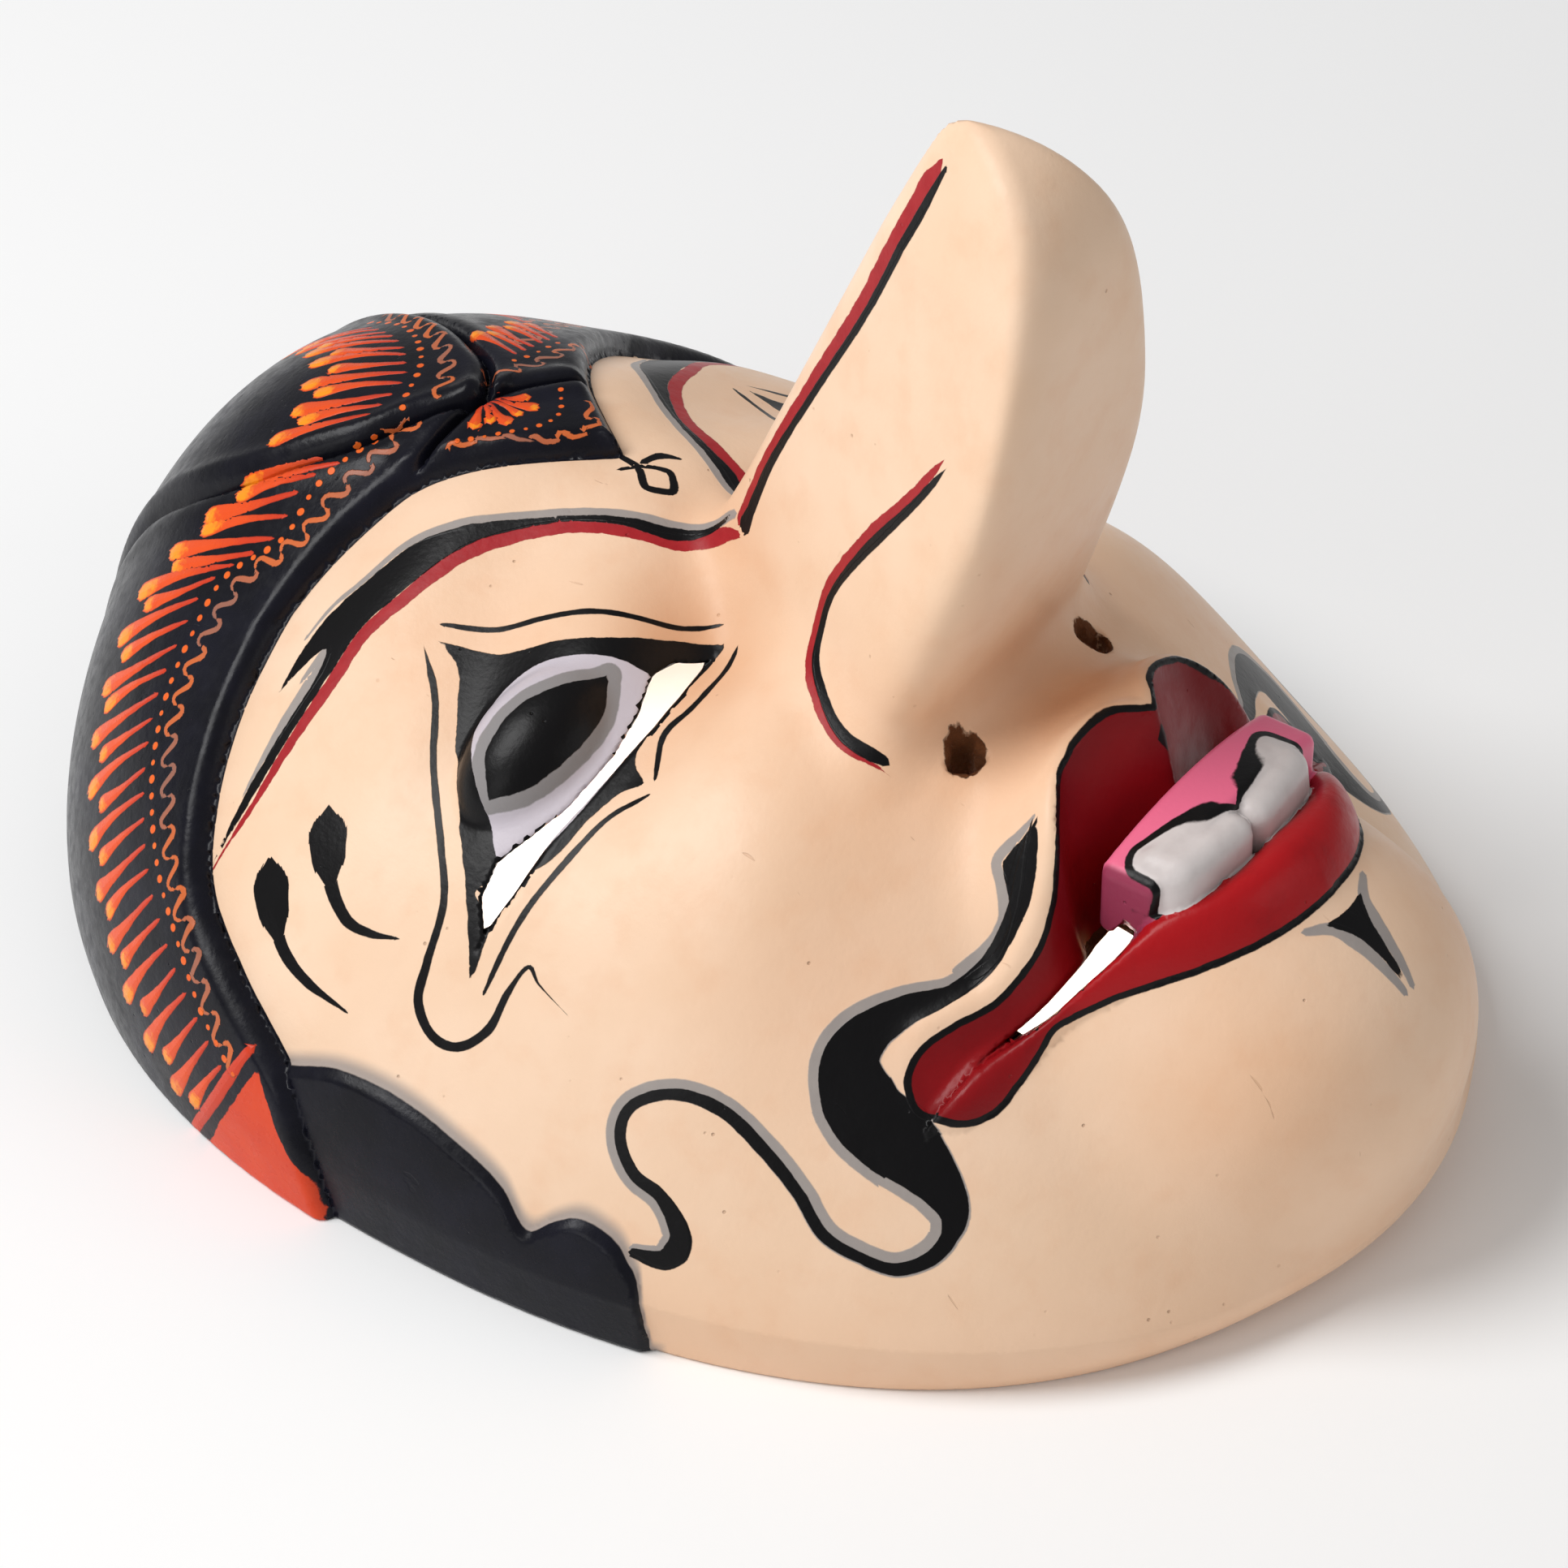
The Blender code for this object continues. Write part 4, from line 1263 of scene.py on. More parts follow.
class Bench:
    """A small helper that wires shader nodes."""

    def __init__(self, name: str) -> None:
        """Start a material with a Principled shader.

        Args:
            name: the material's name.
        """
        self.material = bpy.data.materials.new(name)
        self.material.use_nodes = True
        self.tree = self.material.node_tree
        self.tree.nodes.clear()
        self.shader = self.tree.nodes.new("ShaderNodeBsdfPrincipled")
        out = self.tree.nodes.new("ShaderNodeOutputMaterial")
        self.tree.links.new(self.shader.outputs[0], out.inputs[0])
        self.place = self.tree.nodes.new("ShaderNodeTexCoord").outputs["Object"]

    def feed(self, socket: bpy.types.NodeSocket, value: object) -> None:
        """Set or link a socket.

        Args:
            socket: the input to feed.
            value: a number, a colour or an output.
        """
        if isinstance(value, bpy.types.NodeSocket):
            self.tree.links.new(value, socket)
        else:
            socket.default_value = value

    def math(self, kind: str, a: object, b: object = 0.0, c: object = 0.0, clamp: bool = False) -> object:
        """One arithmetic step.

        Args:
            kind: the operation.
            a: the first value.
            b: the second value.
            c: the third value.
            clamp: whether the result stays within 0 to 1.

        Returns:
            The output.
        """
        node = self.tree.nodes.new("ShaderNodeMath")
        node.operation = kind
        node.use_clamp = clamp
        for socket, value in zip(node.inputs, (a, b, c)):
            self.feed(socket, value)
        return node.outputs[0]

    def stored(self, name: str) -> Tuple[object, object, object]:
        """The three channels of a stored attribute.

        Args:
            name: the attribute's name.

        Returns:
            The three outputs.
        """
        node = self.tree.nodes.new("ShaderNodeAttribute")
        node.attribute_name = name
        split = self.tree.nodes.new("ShaderNodeSeparateXYZ")
        self.tree.links.new(node.outputs["Vector"], split.inputs[0])
        return split.outputs[0], split.outputs[1], split.outputs[2]

    def noise(self, scale: float, detail: float = 3.0, rough: float = 0.55, warp: float = 0.0,
              stretch: Point = (1.0, 1.0, 1.0)) -> object:
        """Soft cloud noise, scale in repeats per metre.

        Args:
            scale: repeats per metre.
            detail: how many finer layers.
            rough: how strong the finer layers are.
            warp: how far it is distorted.
            stretch: how the place is scaled along each axis.

        Returns:
            The output.
        """
        mapping = self.tree.nodes.new("ShaderNodeMapping")
        mapping.inputs["Scale"].default_value = stretch
        self.tree.links.new(self.place, mapping.inputs[0])
        node = self.tree.nodes.new("ShaderNodeTexNoise")
        node.inputs["Scale"].default_value = scale
        node.inputs["Detail"].default_value = detail
        node.inputs["Roughness"].default_value = rough
        node.inputs["Distortion"].default_value = warp
        self.tree.links.new(mapping.outputs[0], node.inputs["Vector"])
        return node.outputs[0]

    def cells(self, scale: float, stretch: Point = (1.0, 1.0, 1.0)) -> object:
        """Distance to scattered points.

        Args:
            scale: repeats per metre.
            stretch: how the place is scaled along each axis.

        Returns:
            The output.
        """
        mapping = self.tree.nodes.new("ShaderNodeMapping")
        mapping.inputs["Scale"].default_value = stretch
        self.tree.links.new(self.place, mapping.inputs[0])
        node = self.tree.nodes.new("ShaderNodeTexVoronoi")
        node.inputs["Scale"].default_value = scale
        self.tree.links.new(mapping.outputs[0], node.inputs["Vector"])
        return node.outputs["Distance"]

    def step(self, value: object, low: float, high: float) -> object:
        """Smooth step from 0 at low to 1 at high.

        Args:
            value: a number, a colour or an output.
            low: where the step starts.
            high: where it ends.

        Returns:
            The output.
        """
        node = self.tree.nodes.new("ShaderNodeMapRange")
        node.interpolation_type = "SMOOTHSTEP"
        for name, v in (("Value", value), ("From Min", low), ("From Max", high)):
            self.feed(node.inputs[name], v)
        return node.outputs[0]

    def mix(self, share: object, a: object, b: object) -> object:
        """Mix two colours.

        Args:
            share: how much of the second.
            a: the first value.
            b: the second value.

        Returns:
            The mixed colour.
        """
        node = self.tree.nodes.new("ShaderNodeMix")
        node.data_type = "RGBA"
        self.feed(node.inputs[0], share)
        self.feed(node.inputs[6], a)
        self.feed(node.inputs[7], b)
        return node.outputs[2]

    def blend(self, share: object, a: object, b: object) -> object:
        """Mix two numbers.

        Args:
            share: how much of the second.
            a: the first value.
            b: the second value.

        Returns:
            The mixed number.
        """
        node = self.tree.nodes.new("ShaderNodeMix")
        self.feed(node.inputs[0], share)
        self.feed(node.inputs[2], a)
        self.feed(node.inputs[3], b)
        return node.outputs[0]

    def bump(self, height: object, depth: float, strength: float = 1.0) -> None:
        """Raise the surface by a height given in shares of a depth in metres.

        Args:
            height: the height, in shares of the depth.
            depth: the depth in metres.
            strength: how strongly it is raised.
        """
        node = self.tree.nodes.new("ShaderNodeBump")
        node.inputs["Strength"].default_value = strength
        node.inputs["Distance"].default_value = depth
        self.feed(node.inputs["Height"], height)
        self.tree.links.new(node.outputs[0], self.shader.inputs["Normal"])


@dataclass(frozen=True)
class FacePaint:
    """The satin painting over the whole face: cream ground, lines, lips, cloth and pattern, with painted shade in the
    hollows.
    """

    cream: Colour = (238, 203, 172)
    cream_warm: Colour = (226, 166, 122)
    # Darker cream for the painted shade in the hollows.
    painted_shade_cream: Colour = (196, 140, 96)
    navy: Colour = (14, 14, 21)
    black: Colour = (7, 6, 7)
    grey: Colour = (140, 136, 136)
    red: Colour = (150, 26, 34)
    lip: Colour = (126, 14, 20)
    lip_low: Colour = (178, 22, 28)
    gum: Colour = (238, 112, 146)
    # A darker copy of the gum pink: painted shade on the gum's ends.
    gum_side_painted_shade: Colour = (150, 58, 84)
    tooth: Colour = (214, 206, 204)
    eyeball: Colour = (206, 198, 206)
    orange: Colour = (228, 82, 34)
    flame: Colour = (250, 150, 34)
    vine: Colour = (204, 104, 56)
    block: Colour = (204, 58, 30)
    wood: Colour = (120, 72, 40)

    def dress(self) -> bpy.types.Material:
        """Wire the finish.

        Returns:
            The material.
        """
        b = Bench("painted_face")
        cloth, lips, gum = b.stored("fill_a")
        tooth, eyeball, pupil = b.stored("fill_b")
        patch, burn, block = b.stored("fill_c")
        raw, warm_tint_and_shade, painted_shade = b.stored("fill_d")
        hand = b.math("MULTIPLY", b.math("SUBTRACT", b.noise(420.0, 2.0), 0.5), 0.5)
        fine = b.math("MULTIPLY", b.math("SUBTRACT", b.noise(2600.0, 2.0), 0.5), 0.12)
        wobble = b.math("ADD", hand, fine)

        def fill(field_value: object, edge: float = 0.0, soft: float = 0.07, shake: float = 1.0) -> object:
            """The share of a filled area."""
            moved = b.math("ADD", field_value, b.math("MULTIPLY", wobble, shake))
            return b.step(moved, edge - soft, edge + soft)

        def line(layer: Layer, soft: float = 0.06, shake: float = 0.5) -> Tuple[object, object, object]:
            """The share of a layer of lines, how deep inside the line a place is, and its tone.

            Args:
                layer: the layer of lines.
                soft: half the width of its soft edge.
                shake: how much the brush shakes.

            Returns:
                The share, the depth and the tone.
            """
            offset, width, tone = b.stored(layer.value)
            inside = b.math("SUBTRACT", width, b.math("ABSOLUTE", offset))
            moved = b.math("ADD", inside, b.math("MULTIPLY", wobble, shake))
            return b.step(moved, -soft, soft), inside, tone

        cloud = b.noise(38.0, 3.0)
        mottle = b.noise(160.0, 4.0)
        base = b.mix(b.step(cloud, 0.3, 0.75), paint_colour(*self.cream), paint_colour(244, 212, 184))
        base = b.mix(b.math("MULTIPLY", b.step(mottle, 0.45, 0.75), 0.16), base, paint_colour(*self.cream_warm))
        # Warm tint with painted shade: warmer, darker cream in the eye sockets, under the nose and towards the rim.
        base = b.mix(b.math("MULTIPLY", warm_tint_and_shade, 1.0, clamp=True), base, paint_colour(*self.cream_warm))
        # Painted shade in the hollows by the eyes, under the nose and under the lower lip.
        base = b.mix(b.math("MULTIPLY", painted_shade, 1.0, clamp=True), base, paint_colour(*self.painted_shade_cream))
        pits = b.step(b.cells(330.0), 0.10, 0.03)
        pits = b.math("MULTIPLY", pits, b.step(b.noise(70.0, 2.0), 0.52, 0.68))
        scratch = b.step(b.noise(130.0, 2.0, 0.5, 0.3, (9.0, 1.0, 1.0)), 0.735, 0.755)
        scratch = b.math("MULTIPLY", scratch, b.step(b.noise(45.0, 2.0), 0.5, 0.62))
        base = b.mix(b.math("MULTIPLY", pits, 0.45), base, paint_colour(150, 96, 60))
        base = b.mix(b.math("MULTIPLY", scratch, 0.22), base, paint_colour(178, 120, 78))

        burn_share, cloth_share = fill(burn, 0.0, 0.08, 0.3), fill(cloth, -0.45, 0.08, 0.3)
        spray = b.math("MULTIPLY", b.step(burn, -2.3, -0.2), 0.8)
        base = b.mix(spray, base, paint_colour(*self.grey))
        grey, grey_in, _ = line(Layer.GREY, 0.12)
        base = b.mix(b.math("MULTIPLY", grey, 0.93), base, b.mix(b.noise(300.0), paint_colour(*self.grey),
                                                               paint_colour(158, 152, 148)))
        red, red_in, _ = line(Layer.RED, 0.07, 1.2)
        base = b.mix(red, base, b.mix(b.noise(500.0), paint_colour(*self.red), paint_colour(176, 44, 48)))
        dark = b.mix(b.noise(240.0), paint_colour(*self.black), paint_colour(13, 12, 14))
        patch_share = fill(patch, 0.0, 0.07)
        base = b.mix(patch_share, base, dark)
        black, black_in, _ = line(Layer.BLACK, 0.07)
        base = b.mix(black, base, dark)
        eye_share = fill(eyeball, 0.0)
        base = b.mix(eye_share, base, b.mix(mottle, paint_colour(*self.eyeball), paint_colour(190, 182, 190)))
        ring = b.math("MULTIPLY", fill(pupil, -1.7, 0.12), eye_share)
        base = b.mix(ring, base, paint_colour(*self.grey))
        iris = b.math("MULTIPLY", fill(pupil, 0.0), eye_share)
        base = b.mix(iris, base, dark)
        lip_edge, lip_share = fill(lips, -0.5, 0.08, 0.6), fill(lips, 0.45, 0.08, 0.6)
        base = b.mix(lip_edge, base, dark)
        lip_tone = b.step(lips, 0.0, 5.0)
        crimson = b.mix(lip_tone, paint_colour(*self.lip), paint_colour(140, 16, 22))
        low_lip = b.tree.nodes.new("ShaderNodeSeparateXYZ")
        b.tree.links.new(b.place, low_lip.inputs[0])
        lower = b.step(b.math("SUBTRACT", -0.060 - CENTRE_Y * MM, low_lip.outputs[1]), -0.002, 0.006)
        crimson = b.mix(b.math("MULTIPLY", lower, 0.75), crimson, paint_colour(*self.lip_low))
        crimson = b.mix(b.math("MULTIPLY", b.step(mottle, 0.5, 0.8), 0.25), crimson, paint_colour(88, 8, 14))
        base = b.mix(lip_share, base, crimson)
        gum_share = fill(gum, 0.0)
        off_middle = b.math("ABSOLUTE", low_lip.outputs[0])
        # Painted shade: the gum's ends, beyond 18.6 mm from the middle, take a darker copy of the pink.
        pink = b.mix(b.step(off_middle, 0.0186, 0.0178), paint_colour(*self.gum_side_painted_shade), paint_colour(*self.gum))
        base = b.mix(gum_share, base, pink)
        base = b.mix(b.math("MULTIPLY", fill(tooth, -0.75, 0.07, 0.5), gum_share), base, dark)
        base = b.mix(fill(tooth, 0.0, 0.07, 0.4), base, b.mix(b.step(mottle, 0.4, 0.7), paint_colour(*self.tooth),
                                                   paint_colour(204, 195, 193)))

        navy = b.mix(b.step(b.noise(90.0, 3.0), 0.35, 0.75), paint_colour(*self.navy), paint_colour(22, 22, 33))
        base = b.mix(b.math("MAXIMUM", burn_share, cloth_share), base, navy)
        block_share = b.math("MULTIPLY", fill(block, 0.0, 0.08, 1.6), cloth_share)
        base = b.mix(block_share, base, b.mix(b.noise(260.0, 4.0), paint_colour(*self.block),
                                              paint_colour(222, 78, 40)))
        vine, vine_in, vine_tone = line(Layer.VINE, 0.07, 0.6)
        vine = b.math("MULTIPLY", vine, cloth_share)
        vine_colour = b.mix(b.step(b.math("ADD", vine_tone, b.math("SUBTRACT", b.noise(60.0), 0.5)), 0.3, 0.9),
                            paint_colour(*self.vine), paint_colour(150, 100, 84))
        base = b.mix(vine, base, vine_colour)
        drop, drop_in, drop_tone = line(Layer.DROP, 0.07, 0.6)
        drop = b.math("MULTIPLY", drop, cloth_share)
        glow = b.math("ADD", drop_tone, b.math("MULTIPLY", b.math("SUBTRACT", b.noise(700.0, 3.0), 0.5), 0.3))
        flame = b.mix(b.step(glow, 0.1, 0.62), paint_colour(205, 62, 36), paint_colour(*self.orange))
        flame = b.mix(b.math("MULTIPLY", b.step(glow, 0.78, 0.93), b.step(drop_in, 0.05, 0.5)), flame,
                      paint_colour(*self.flame))
        base = b.mix(drop, base, flame)
        bare = b.step(b.math("ADD", raw, b.math("MULTIPLY", wobble, 2.2)), -0.1, 0.1)
        grain = b.noise(240.0, 5.0, 0.65, 0.6, (1.0, 0.16, 1.0))
        base = b.mix(bare, base, b.mix(grain, paint_colour(*self.wood), paint_colour(62, 34, 20)))

        wear = b.step(b.noise(520.0, 4.0), 0.35, 0.8)
        satin = b.blend(wear, 0.36, 0.46)
        satin = b.blend(b.math("MAXIMUM", burn_share, cloth_share), satin, b.blend(wear, 0.26, 0.40))
        satin = b.blend(lip_share, satin, b.blend(wear, 0.30, 0.42))
        satin = b.blend(b.math("MAXIMUM", patch_share, black), satin, 0.34)
        satin = b.blend(bare, satin, 0.9)
        b.feed(b.shader.inputs["Roughness"], satin)
        b.shader.inputs["Specular IOR Level"].default_value = 0.18

        across, along, size = b.stored(Layer.DOT.value)
        far = b.math("SQRT", b.math("ADD", b.math("MULTIPLY", across, across), b.math("MULTIPLY", along, along)))
        dot_in = b.math("ADD", b.math("SUBTRACT", size, far), b.math("MULTIPLY", wobble, 0.4))
        dot = b.math("MULTIPLY", b.step(dot_in, -0.06, 0.06), cloth_share)
        base = b.mix(dot, base, b.mix(b.noise(400.0), paint_colour(*self.orange), paint_colour(236, 118, 40)))
        b.feed(b.shader.inputs["Base Color"], base)

        height = b.math("MULTIPLY", b.noise(210.0, 4.0, 0.5), 0.5)
        height = b.math("ADD", height, b.math("MULTIPLY", b.noise(1300.0, 3.0), 0.14))
        for share, thick in ((black, 0.26), (patch_share, 0.26), (red, 0.2), (grey, 0.14), (lip_edge, 0.25),
                             (vine, 0.45), (dot, 0.6), (eye_share, 0.2), (iris, 0.2)):
            height = b.math("ADD", height, b.math("MULTIPLY", share, thick))
        dome = b.math("SQRT", b.math("MULTIPLY", b.math("MAXIMUM", drop_in, 0.0), drop))
        height = b.math("ADD", height, b.math("MULTIPLY", dome, 1.1))
        height = b.math("SUBTRACT", height, b.math("MULTIPLY", pits, 0.9))
        height = b.math("SUBTRACT", height, b.math("MULTIPLY", scratch, 0.35))
        height = b.math("ADD", height, b.math("MULTIPLY", b.math("MULTIPLY", bare, b.noise(900.0, 4.0)), 3.0))
        b.bump(height, 0.0003, 0.8)
        return b.material


@dataclass(frozen=True)
class RawWood:
    """The gouged bare wood of the back."""

    light: Colour = (206, 168, 120)
    dark: Colour = (158, 112, 70)
    stain: Colour = (112, 74, 46)

    def dress(self) -> bpy.types.Material:
        """Wire the finish.

        Returns:
            The material.
        """
        b = Bench("carved_wood")
        grain = b.noise(300.0, 6.0, 0.65, 0.8, (1.0, 0.10, 0.7))
        rings = b.noise(60.0, 4.0, 0.6, 1.6, (1.0, 0.16, 1.0))
        base = b.mix(b.step(rings, 0.35, 0.7), paint_colour(*self.light), paint_colour(*self.dark))
        base = b.mix(b.math("MULTIPLY", b.step(grain, 0.52, 0.7), 0.6), base, paint_colour(*self.stain))
        pores = b.step(b.cells(900.0, (1.0, 0.14, 1.0)), 0.16, 0.05)
        base = b.mix(b.math("MULTIPLY", pores, 0.55), base, paint_colour(84, 52, 32))
        base = b.mix(b.math("MULTIPLY", b.step(b.noise(24.0, 3.0), 0.5, 0.75), 0.35), base,
                     paint_colour(*self.stain))
        b.feed(b.shader.inputs["Base Color"], base)
        b.feed(b.shader.inputs["Roughness"], b.blend(grain, 0.66, 0.86))
        b.shader.inputs["Specular IOR Level"].default_value = 0.3
        height = b.math("ADD", b.math("MULTIPLY", grain, 0.8), b.math("MULTIPLY", pores, -0.7))
        height = b.math("ADD", height, b.math("MULTIPLY", b.noise(120.0, 2.0, 0.4, 0.0, (1.0, 0.35, 1.0)), 1.3))
        b.bump(height, 0.0005, 0.8)
        return b.material


@dataclass(frozen=True)
class PaperWhite:
    """The plain pale floor."""

    tone: Colour = (252, 252, 252)

    def dress(self) -> bpy.types.Material:
        """Wire the finish.

        Returns:
            The material.
        """
        b = Bench("pale_floor")
        b.feed(b.shader.inputs["Base Color"], b.mix(b.noise(3.0), paint_colour(*self.tone),
                                                    paint_colour(250, 250, 250)))
        b.shader.inputs["Roughness"].default_value = 0.9
        return b.material


# ---- pieces ---------------------------------------------------------------------------------------------
class Piece(Enum):
    """The pieces the mask is made as, with its sides as they are seen from the front."""

    FACE_LEFT = "painted_face_left"
    FACE_RIGHT = "painted_face_right"
    SCARF = "painted_headscarf"
    BACK_LEFT = "carved_back_left"
    BACK_RIGHT = "carved_back_right"


@dataclass
class MaskMaker:
    """Nets the carving, splits it into pieces and paints them."""

    mask: CarvedMask = field(default_factory=CarvedMask)
    pattern: ScarfPattern = field(default_factory=ScarfPattern)
    cell: float = 0.7
    quick_cell: float = 1.2

    def carve(self) -> Tuple[Array, Array, Array]:
        """Net the whole carving.

        Returns:
            Places, outward directions and quads.
        """
        cell = self.cell
        verts, quads = Netting(cell, (-84.0, -110.0, -3.0), (84.0, 112.0, 150.0)).weave(self.mask.distance)
        settled, outward = self.mask.settle(verts, 2)
        settled[:, 2] = np.maximum(settled[:, 2], 0.0)
        LOG.info("carved %d quads", len(quads))
        return settled, outward, quads

    def sort_faces(self, verts: Array, outward: Array, quads: Array) -> Dict[Piece, Array]:
        """Share the faces between the pieces.

        Args:
            verts: all places.
            outward: outward directions; not used.
            quads: faces, by their corners.

        Returns:
            Face numbers for each piece.
        """
        middle = verts[quads].mean(1)
        x, y, z = middle.T
        back = (self.mask.face(x, y, z) < -2.2) | (z < 0.02)
        scarf = (self.mask.scarf.inside(x, y, z) > -0.6) & (y > 10.0) & ~back
        face = ~back & ~scarf
        left = x < 0.0
        chosen = {Piece.BACK_LEFT: back & left, Piece.BACK_RIGHT: back & ~left, Piece.SCARF: scarf,
                  Piece.FACE_LEFT: face & left, Piece.FACE_RIGHT: face & ~left}
        return {kind: np.flatnonzero(mine) for kind, mine in chosen.items()}

    def fills(self, verts: Array, outward: Array) -> Dict[str, Array]:
        """Distances inside every filled area, by attribute.

        Args:
            verts: all places.
            outward: outward directions.

        Returns:
            (N, 3) arrays by attribute.
        """
        x, y, z = verts.T
        side = np.sqrt(x * x + 0.25)
        none = np.full(len(verts), -9.0)
        value = {f: none.copy() for f in Fill}
        up = (z > 2.0) | (y > 10.0)
        value[Fill.CLOTH] = np.where(y > 8.0, self.mask.scarf.inside(x, y, z), -9.0)
        mouth = (y < -44.0) & (z > 24.0) & (self.mask.dome.distance(x, y, z, 5.0) > 0.0)
        inside = np.maximum(self.mask.mouth.lips(side, y) - 2.6, 2.3 - np.hypot(side - 42.8, y + 55.0))
        value[Fill.LIPS] = np.where(mouth, inside, -9.0)
        gum, tooth = self.mask.mouth.solids(x, y, z)
        near = mouth & (side < 26.0)
        value[Fill.GUM] = np.where(near, 0.7 - gum, -9.0)
        value[Fill.TOOTH] = np.where(near, 0.35 - tooth, -9.0)
        eye = (side > 12.0) & (z > 34.0) & (y > -8.0) & (y < 30.0)
        ball = self.mask.eye.ball.distance(side, y, z)
        burn = (np.abs(x) > 60.0) & (y < 30.0) & (y > -40.0) & (z < 36.0)
        value[Fill.SIDEBURN] = np.where(burn, self.mask.sideburn(y, z), -9.0)
        brush = Brush(self.mask)
        for patch in PATCHES:
            for mirror in ((False, True) if patch.mirrored else (False,)):
                runs = [flip(r) if mirror else r for r in patch.runs]
                brush.patch(runs, verts, outward, value[patch.fill])
        skin = self.mask.skin(x, y, z)
        hole = np.minimum(self.mask.eye.slit(side, y, -skin), self.mask.mouth.slit(side, y, -skin))
        near_slit = self.mask.eye.slit(side, y, -skin)
        sunk = eye & (near_slit < np.where(skin < -0.7, 1.0, 0.45)) & (skin > -9.0)
        under_ball = sunk & (ball < 1.4) & (y > 1.5 + 0.1 * np.clip(side - 38.0, 0.0, 20.0) ** 1.2)
        value[Fill.EYEBALL] = np.where(under_ball, 1.0, value[Fill.EYEBALL])
        value[Fill.BLACK] = np.where(sunk & ~under_ball, 1.0, value[Fill.BLACK])
        nx, ny, nr = self.mask.nostril
        drill = np.where(z < 69.5, np.hypot(side - nx, y - ny) - nr, 9.0)
        value[Fill.RAW] = np.where(up, np.maximum(0.5 - drill, -9.0), -9.0)
        ledge = np.where(mouth & (side < 30.0), 1.3 - np.abs(y - read_profile(side, self.mask.mouth.inner_line) - 1.0),
                         -9.0)
        deep = skin < -3.4
        value[Fill.RAW] = np.maximum(value[Fill.RAW], np.where(deep & (tooth > 0.3) & (gum > 0.3), ledge, -9.0))
        value[Fill.RAW] = np.maximum(value[Fill.RAW], np.where(hole < 1.2, -6.5 - skin, -9.0))
        # Warm tint with painted shade: darker spots in the eye sockets, under the nose, at the nose root, on cheeks
        # and chin, and more towards the rim.
        spots = (((22, 1, 62), 13, 0.5), ((0, -44, 70), 12, 0.75), ((24, -34, 66), 14, 0.35), ((34, 26, 62), 14, 0.22),
                 ((0, 6, 74), 12, 0.4), ((44, -40, 46), 20, 0.3), ((24, -88, 40), 18, 0.35), ((0, 60, 70), 40, 0.1))
        warm_tint_and_shade = sum(w * np.exp(-((side - c[0]) ** 2 + (y - c[1]) ** 2 + (z - c[2]) ** 2) / r ** 2)
                    for c, r, w in spots)
        value[Fill.BLUSH] = warm_tint_and_shade + 0.25 * ease((22.0 - z) / 22.0)
        # Painted shade: dark spots in the hollows by the inner eye corners, under the nose, beside the nostrils and
        # under the lower lip.
        dark = (((17, 4, 63), 8, 0.35), ((0, -41, 66), 7, 0.12), ((15, -41, 65), 5, 0.25), ((0, -76, 53), 9, 0.2))
        value[Fill.SHADE] = sum(w * np.exp(-((side - c[0]) ** 2 + (y - c[1]) ** 2 + (z - c[2]) ** 2) / r ** 2)
                                for c, r, w in dark)
        stored: Dict[str, Array] = {}
        for f in Fill:
            stored.setdefault(f.value[0], np.full((len(verts), 3), -9.0))[:, f.value[1]] = value[f]
        return stored

    def lines(self, verts: Array, outward: Array, quads: Array) -> Dict[str, Array]:
        """Every layer of brush lines, by attribute, on the face corners.

        Args:
            verts: all places.
            outward: outward directions.
            quads: the painted faces, by their corners.

        Returns:
            (faces, 4, 3) arrays by attribute.
        """
        brush = Brush(self.mask)
        corners = verts[quads]
        centres = corners.mean(1)
        normals = outward[quads].mean(1)
        normals /= np.maximum(np.linalg.norm(normals, axis=1), 1e-6)[:, None]
        everything = list(STROKES) + self.pattern.strokes()
        return {layer.value: brush.layer([s for s in everything if s.layer is layer], centres, corners, normals)
                for layer in Layer}

    def piece(self, name: str, verts: Array, outward: Array, quads: Array, points: Dict[str, Array],
              corners: Dict[str, Array], material: bpy.types.Material) -> bpy.types.Object:
        """Make one piece of the mask.

        Args:
            name: the piece's name.
            verts: all places, millimetres.
            outward: the outward direction at each place.
            quads: the faces of this piece.
            points: values stored on the places.
            corners: values stored on the corners of these faces.
            material: its finish.

        Returns:
            The object, riding on the mask.
        """
        used, flat = np.unique(quads, return_inverse=True)
        mesh = bpy.data.meshes.new(name)
        place = (verts[used] - np.array([0.0, CENTRE_Y, 0.0])) * MM
        mesh.from_pydata(place.tolist(), [], flat.reshape(-1, 4).tolist())
        mesh.shade_smooth()
        for key, value in points.items():
            made = mesh.attributes.new(key, "FLOAT_VECTOR", "POINT")
            made.data.foreach_set("vector", value[used].astype(np.float32).ravel())
        for key, value in corners.items():
            made = mesh.attributes.new(key, "FLOAT_VECTOR", "CORNER")
            made.data.foreach_set("vector", value.astype(np.float32).ravel())
        mesh.normals_split_custom_set_from_vertices(outward[used].tolist())
        mesh.materials.append(material)
        made_object = bpy.data.objects.new(name, mesh)
        bpy.context.scene.collection.objects.link(made_object)
        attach(made_object, "root")
        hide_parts(MASK_NODE)
        LOG.info("made %s with %d triangles", name, 2 * len(quads))
        return made_object

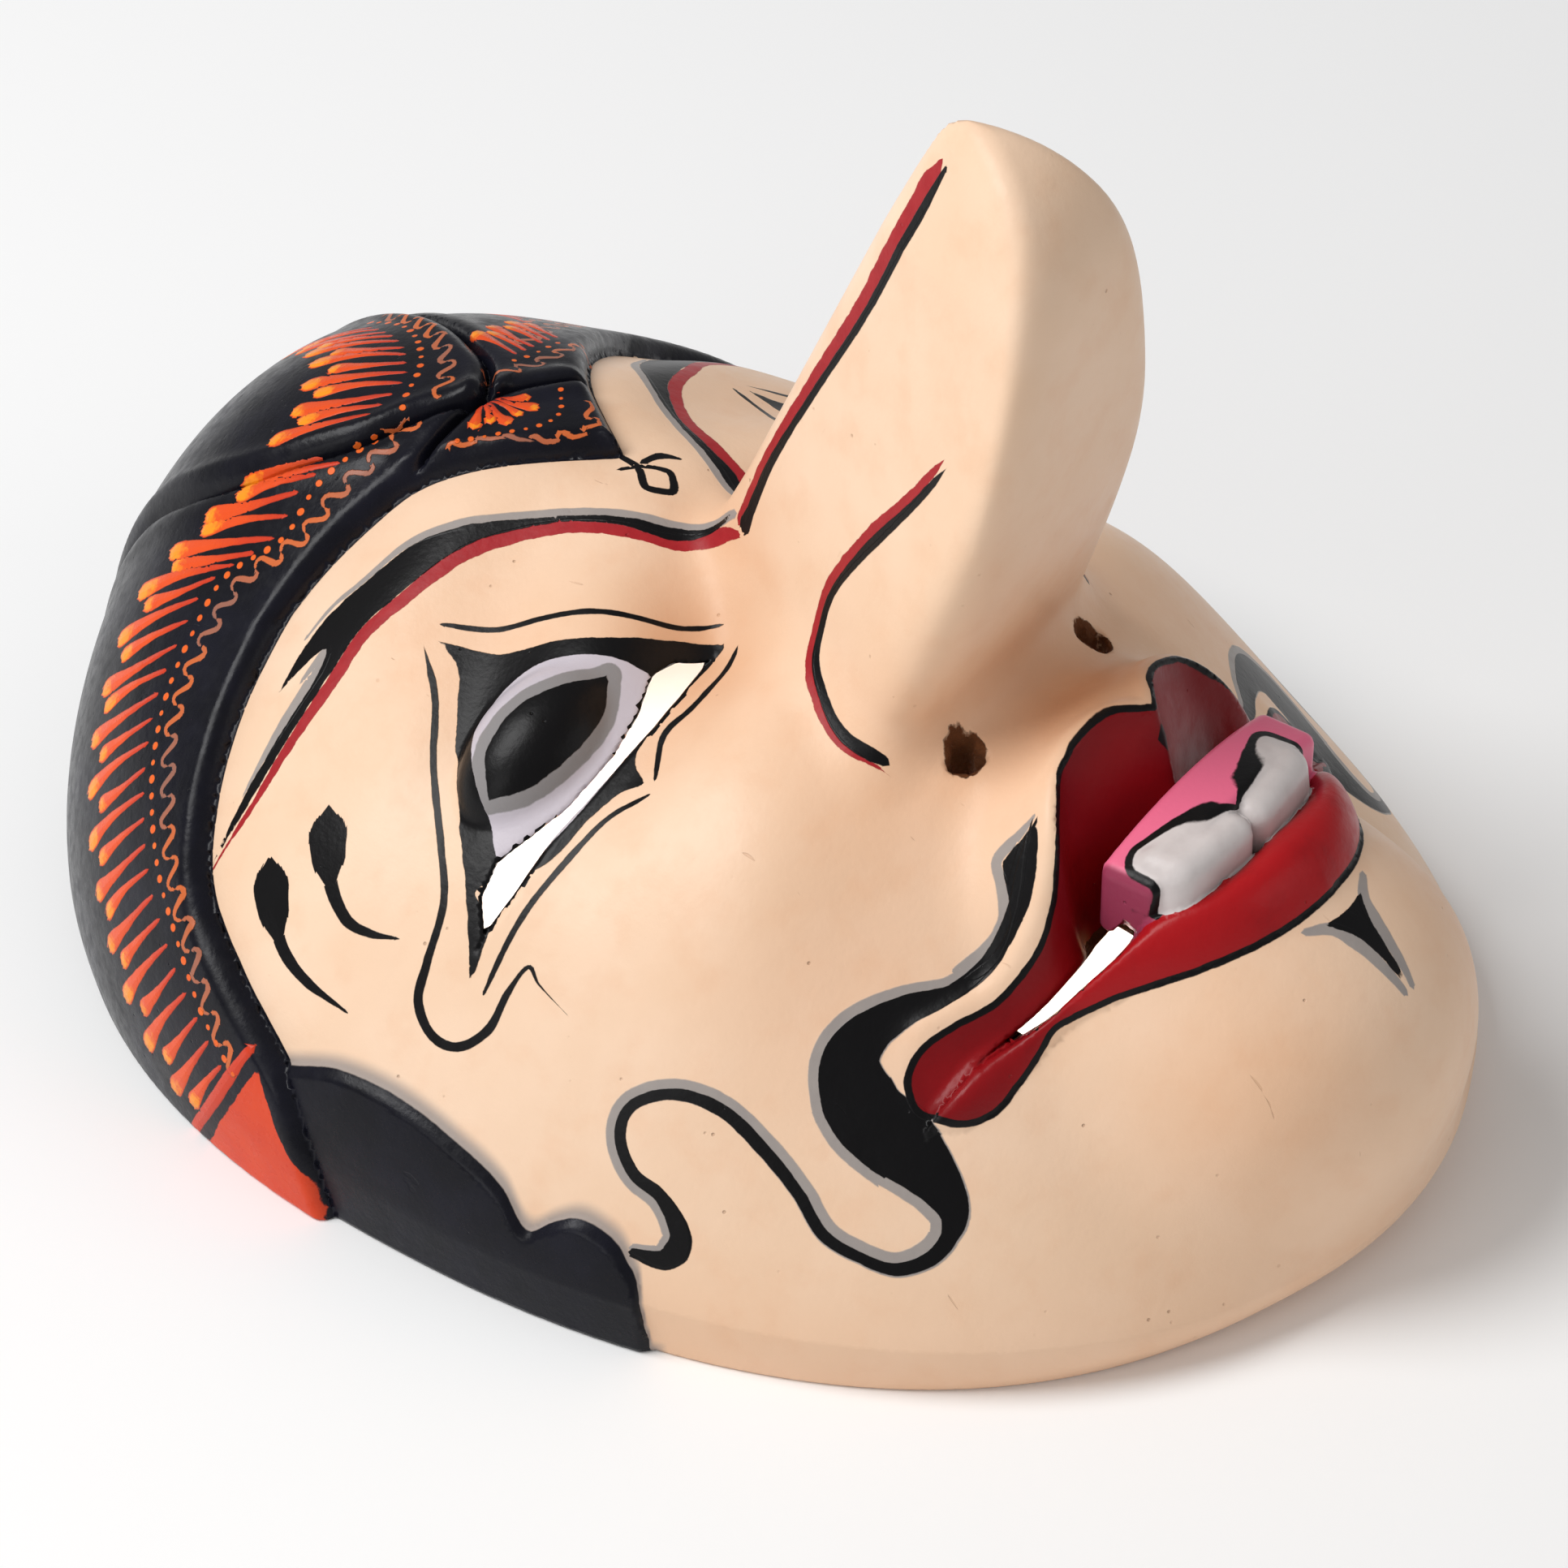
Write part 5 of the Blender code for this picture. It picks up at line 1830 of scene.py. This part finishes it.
    def make(self) -> List[bpy.types.Object]:
        """Make every piece of the mask.

        Returns:
            The pieces.
        """
        verts, outward, quads = self.carve()
        groups = self.sort_faces(verts, outward, quads)
        points = self.fills(verts, outward)
        paint, wood = FacePaint().dress(), RawWood().dress()
        carved = [Piece.BACK_LEFT, Piece.BACK_RIGHT]
        painted = [Piece.FACE_LEFT, Piece.FACE_RIGHT, Piece.SCARF]
        lines = self.lines(verts, outward, quads[np.concatenate([groups[kind] for kind in painted])])
        made = [self.piece(kind.value, verts, outward, quads[groups[kind]], {}, {}, wood) for kind in carved]
        start = 0
        for kind in painted:
            end = start + len(groups[kind])
            own = {key: value[start:end] for key, value in lines.items()}
            made.append(self.piece(kind.value, verts, outward, quads[groups[kind]], points, own, paint))
            start = end
        return made


# ---- setting ----------------------------------------------------------------------------------------------
@dataclass(frozen=True)
class Setting:
    """The floor, the soft lights and the camera."""

    azimuth: float = -54.0
    height: float = 40.0
    distance: float = 0.760
    target: Point = (-0.0156, -0.0094, 0.0453)
    sensor: float = 36.0
    lens: float = 133.8

    def floor(self) -> bpy.types.Object:
        """Lay the floor.

        Returns:
            The floor.
        """
        mesh = bpy.data.meshes.new("floor")
        mesh.from_pydata([(-3, -3, 0), (3, -3, 0), (3, 3, 0), (-3, 3, 0)], [], [(0, 1, 2, 3)])
        mesh.materials.append(PaperWhite().dress())
        floor = bpy.data.objects.new("floor", mesh)
        bpy.context.scene.collection.objects.link(floor)
        return floor

    def lamp(self, name: str, place: Point, size: float, power: float) -> None:
        """Hang one soft lamp that looks at the mask.

        Args:
            name: the name to give it.
            place: where it hangs.
            size: its width.
            power: its power in watts.
        """
        light = bpy.data.lights.new(name, "AREA")
        light.shape, light.size, light.energy = "DISK", size, power
        lamp = bpy.data.objects.new(name, light)
        lamp.location = place
        lamp.rotation_euler = (Vector((0, 0, 0.05)) - Vector(place)).to_track_quat("-Z", "Y").to_euler()
        bpy.context.scene.collection.objects.link(lamp)

    def light(self) -> None:
        """Light the studio."""
        world = bpy.data.worlds.new("studio")
        world.use_nodes = True
        world.node_tree.nodes["Background"].inputs[0].default_value = (1.0, 1.0, 1.0, 1.0)
        world.node_tree.nodes["Background"].inputs[1].default_value = 0.34
        bpy.context.scene.world = world
        self.lamp("key", (-0.56, 0.56, 1.12), 0.8, 13.5)
        self.lamp("left", (-1.3, 0.1, 0.6), 0.7, 2.0)
        self.lamp("front", (0.3, -1.3, 0.7), 0.9, 1.7)
        self.glow()
        bpy.context.scene.view_settings.view_transform = "Standard"

    def glow(self) -> None:
        """Put a small lamp in the hollow, so the slits read as light as the floor."""
        light = bpy.data.lights.new("inside", "AREA")
        light.shape, light.size, light.energy = "DISK", 0.05, 0.10
        lamp = bpy.data.objects.new("inside", light)
        lamp.location = (0.0, 0.0, 0.045)
        lamp.visible_camera = False
        bpy.context.scene.collection.objects.link(lamp)

    def camera(self) -> None:
        """Stand the camera."""
        a, e = math.radians(self.azimuth), math.radians(self.height)
        back = Vector((math.sin(a) * math.cos(e), -math.cos(a) * math.cos(e), math.sin(e)))
        lens = bpy.data.cameras.new("camera")
        lens.sensor_width, lens.lens, lens.clip_start = self.sensor, self.lens, 0.01
        camera = bpy.data.objects.new("camera", lens)
        camera.location = Vector(self.target) - Vector((0.0, CENTRE_Y * MM, 0.0)) + back * self.distance
        camera.rotation_euler = (-back).to_track_quat("-Z", "Y").to_euler()
        bpy.context.scene.collection.objects.link(camera)
        bpy.context.scene.camera = camera


def main() -> None:
    """Make the mask, then set the studio round it."""
    logging.basicConfig(level=logging.INFO, format="%(name)s: %(message)s")
    setting = Setting()
    setting.camera()
    for piece in MaskMaker().make():
        LOG.info("piece %s", piece.name)
    setting.floor()
    setting.light()


if __name__ == "__main__":
    main()
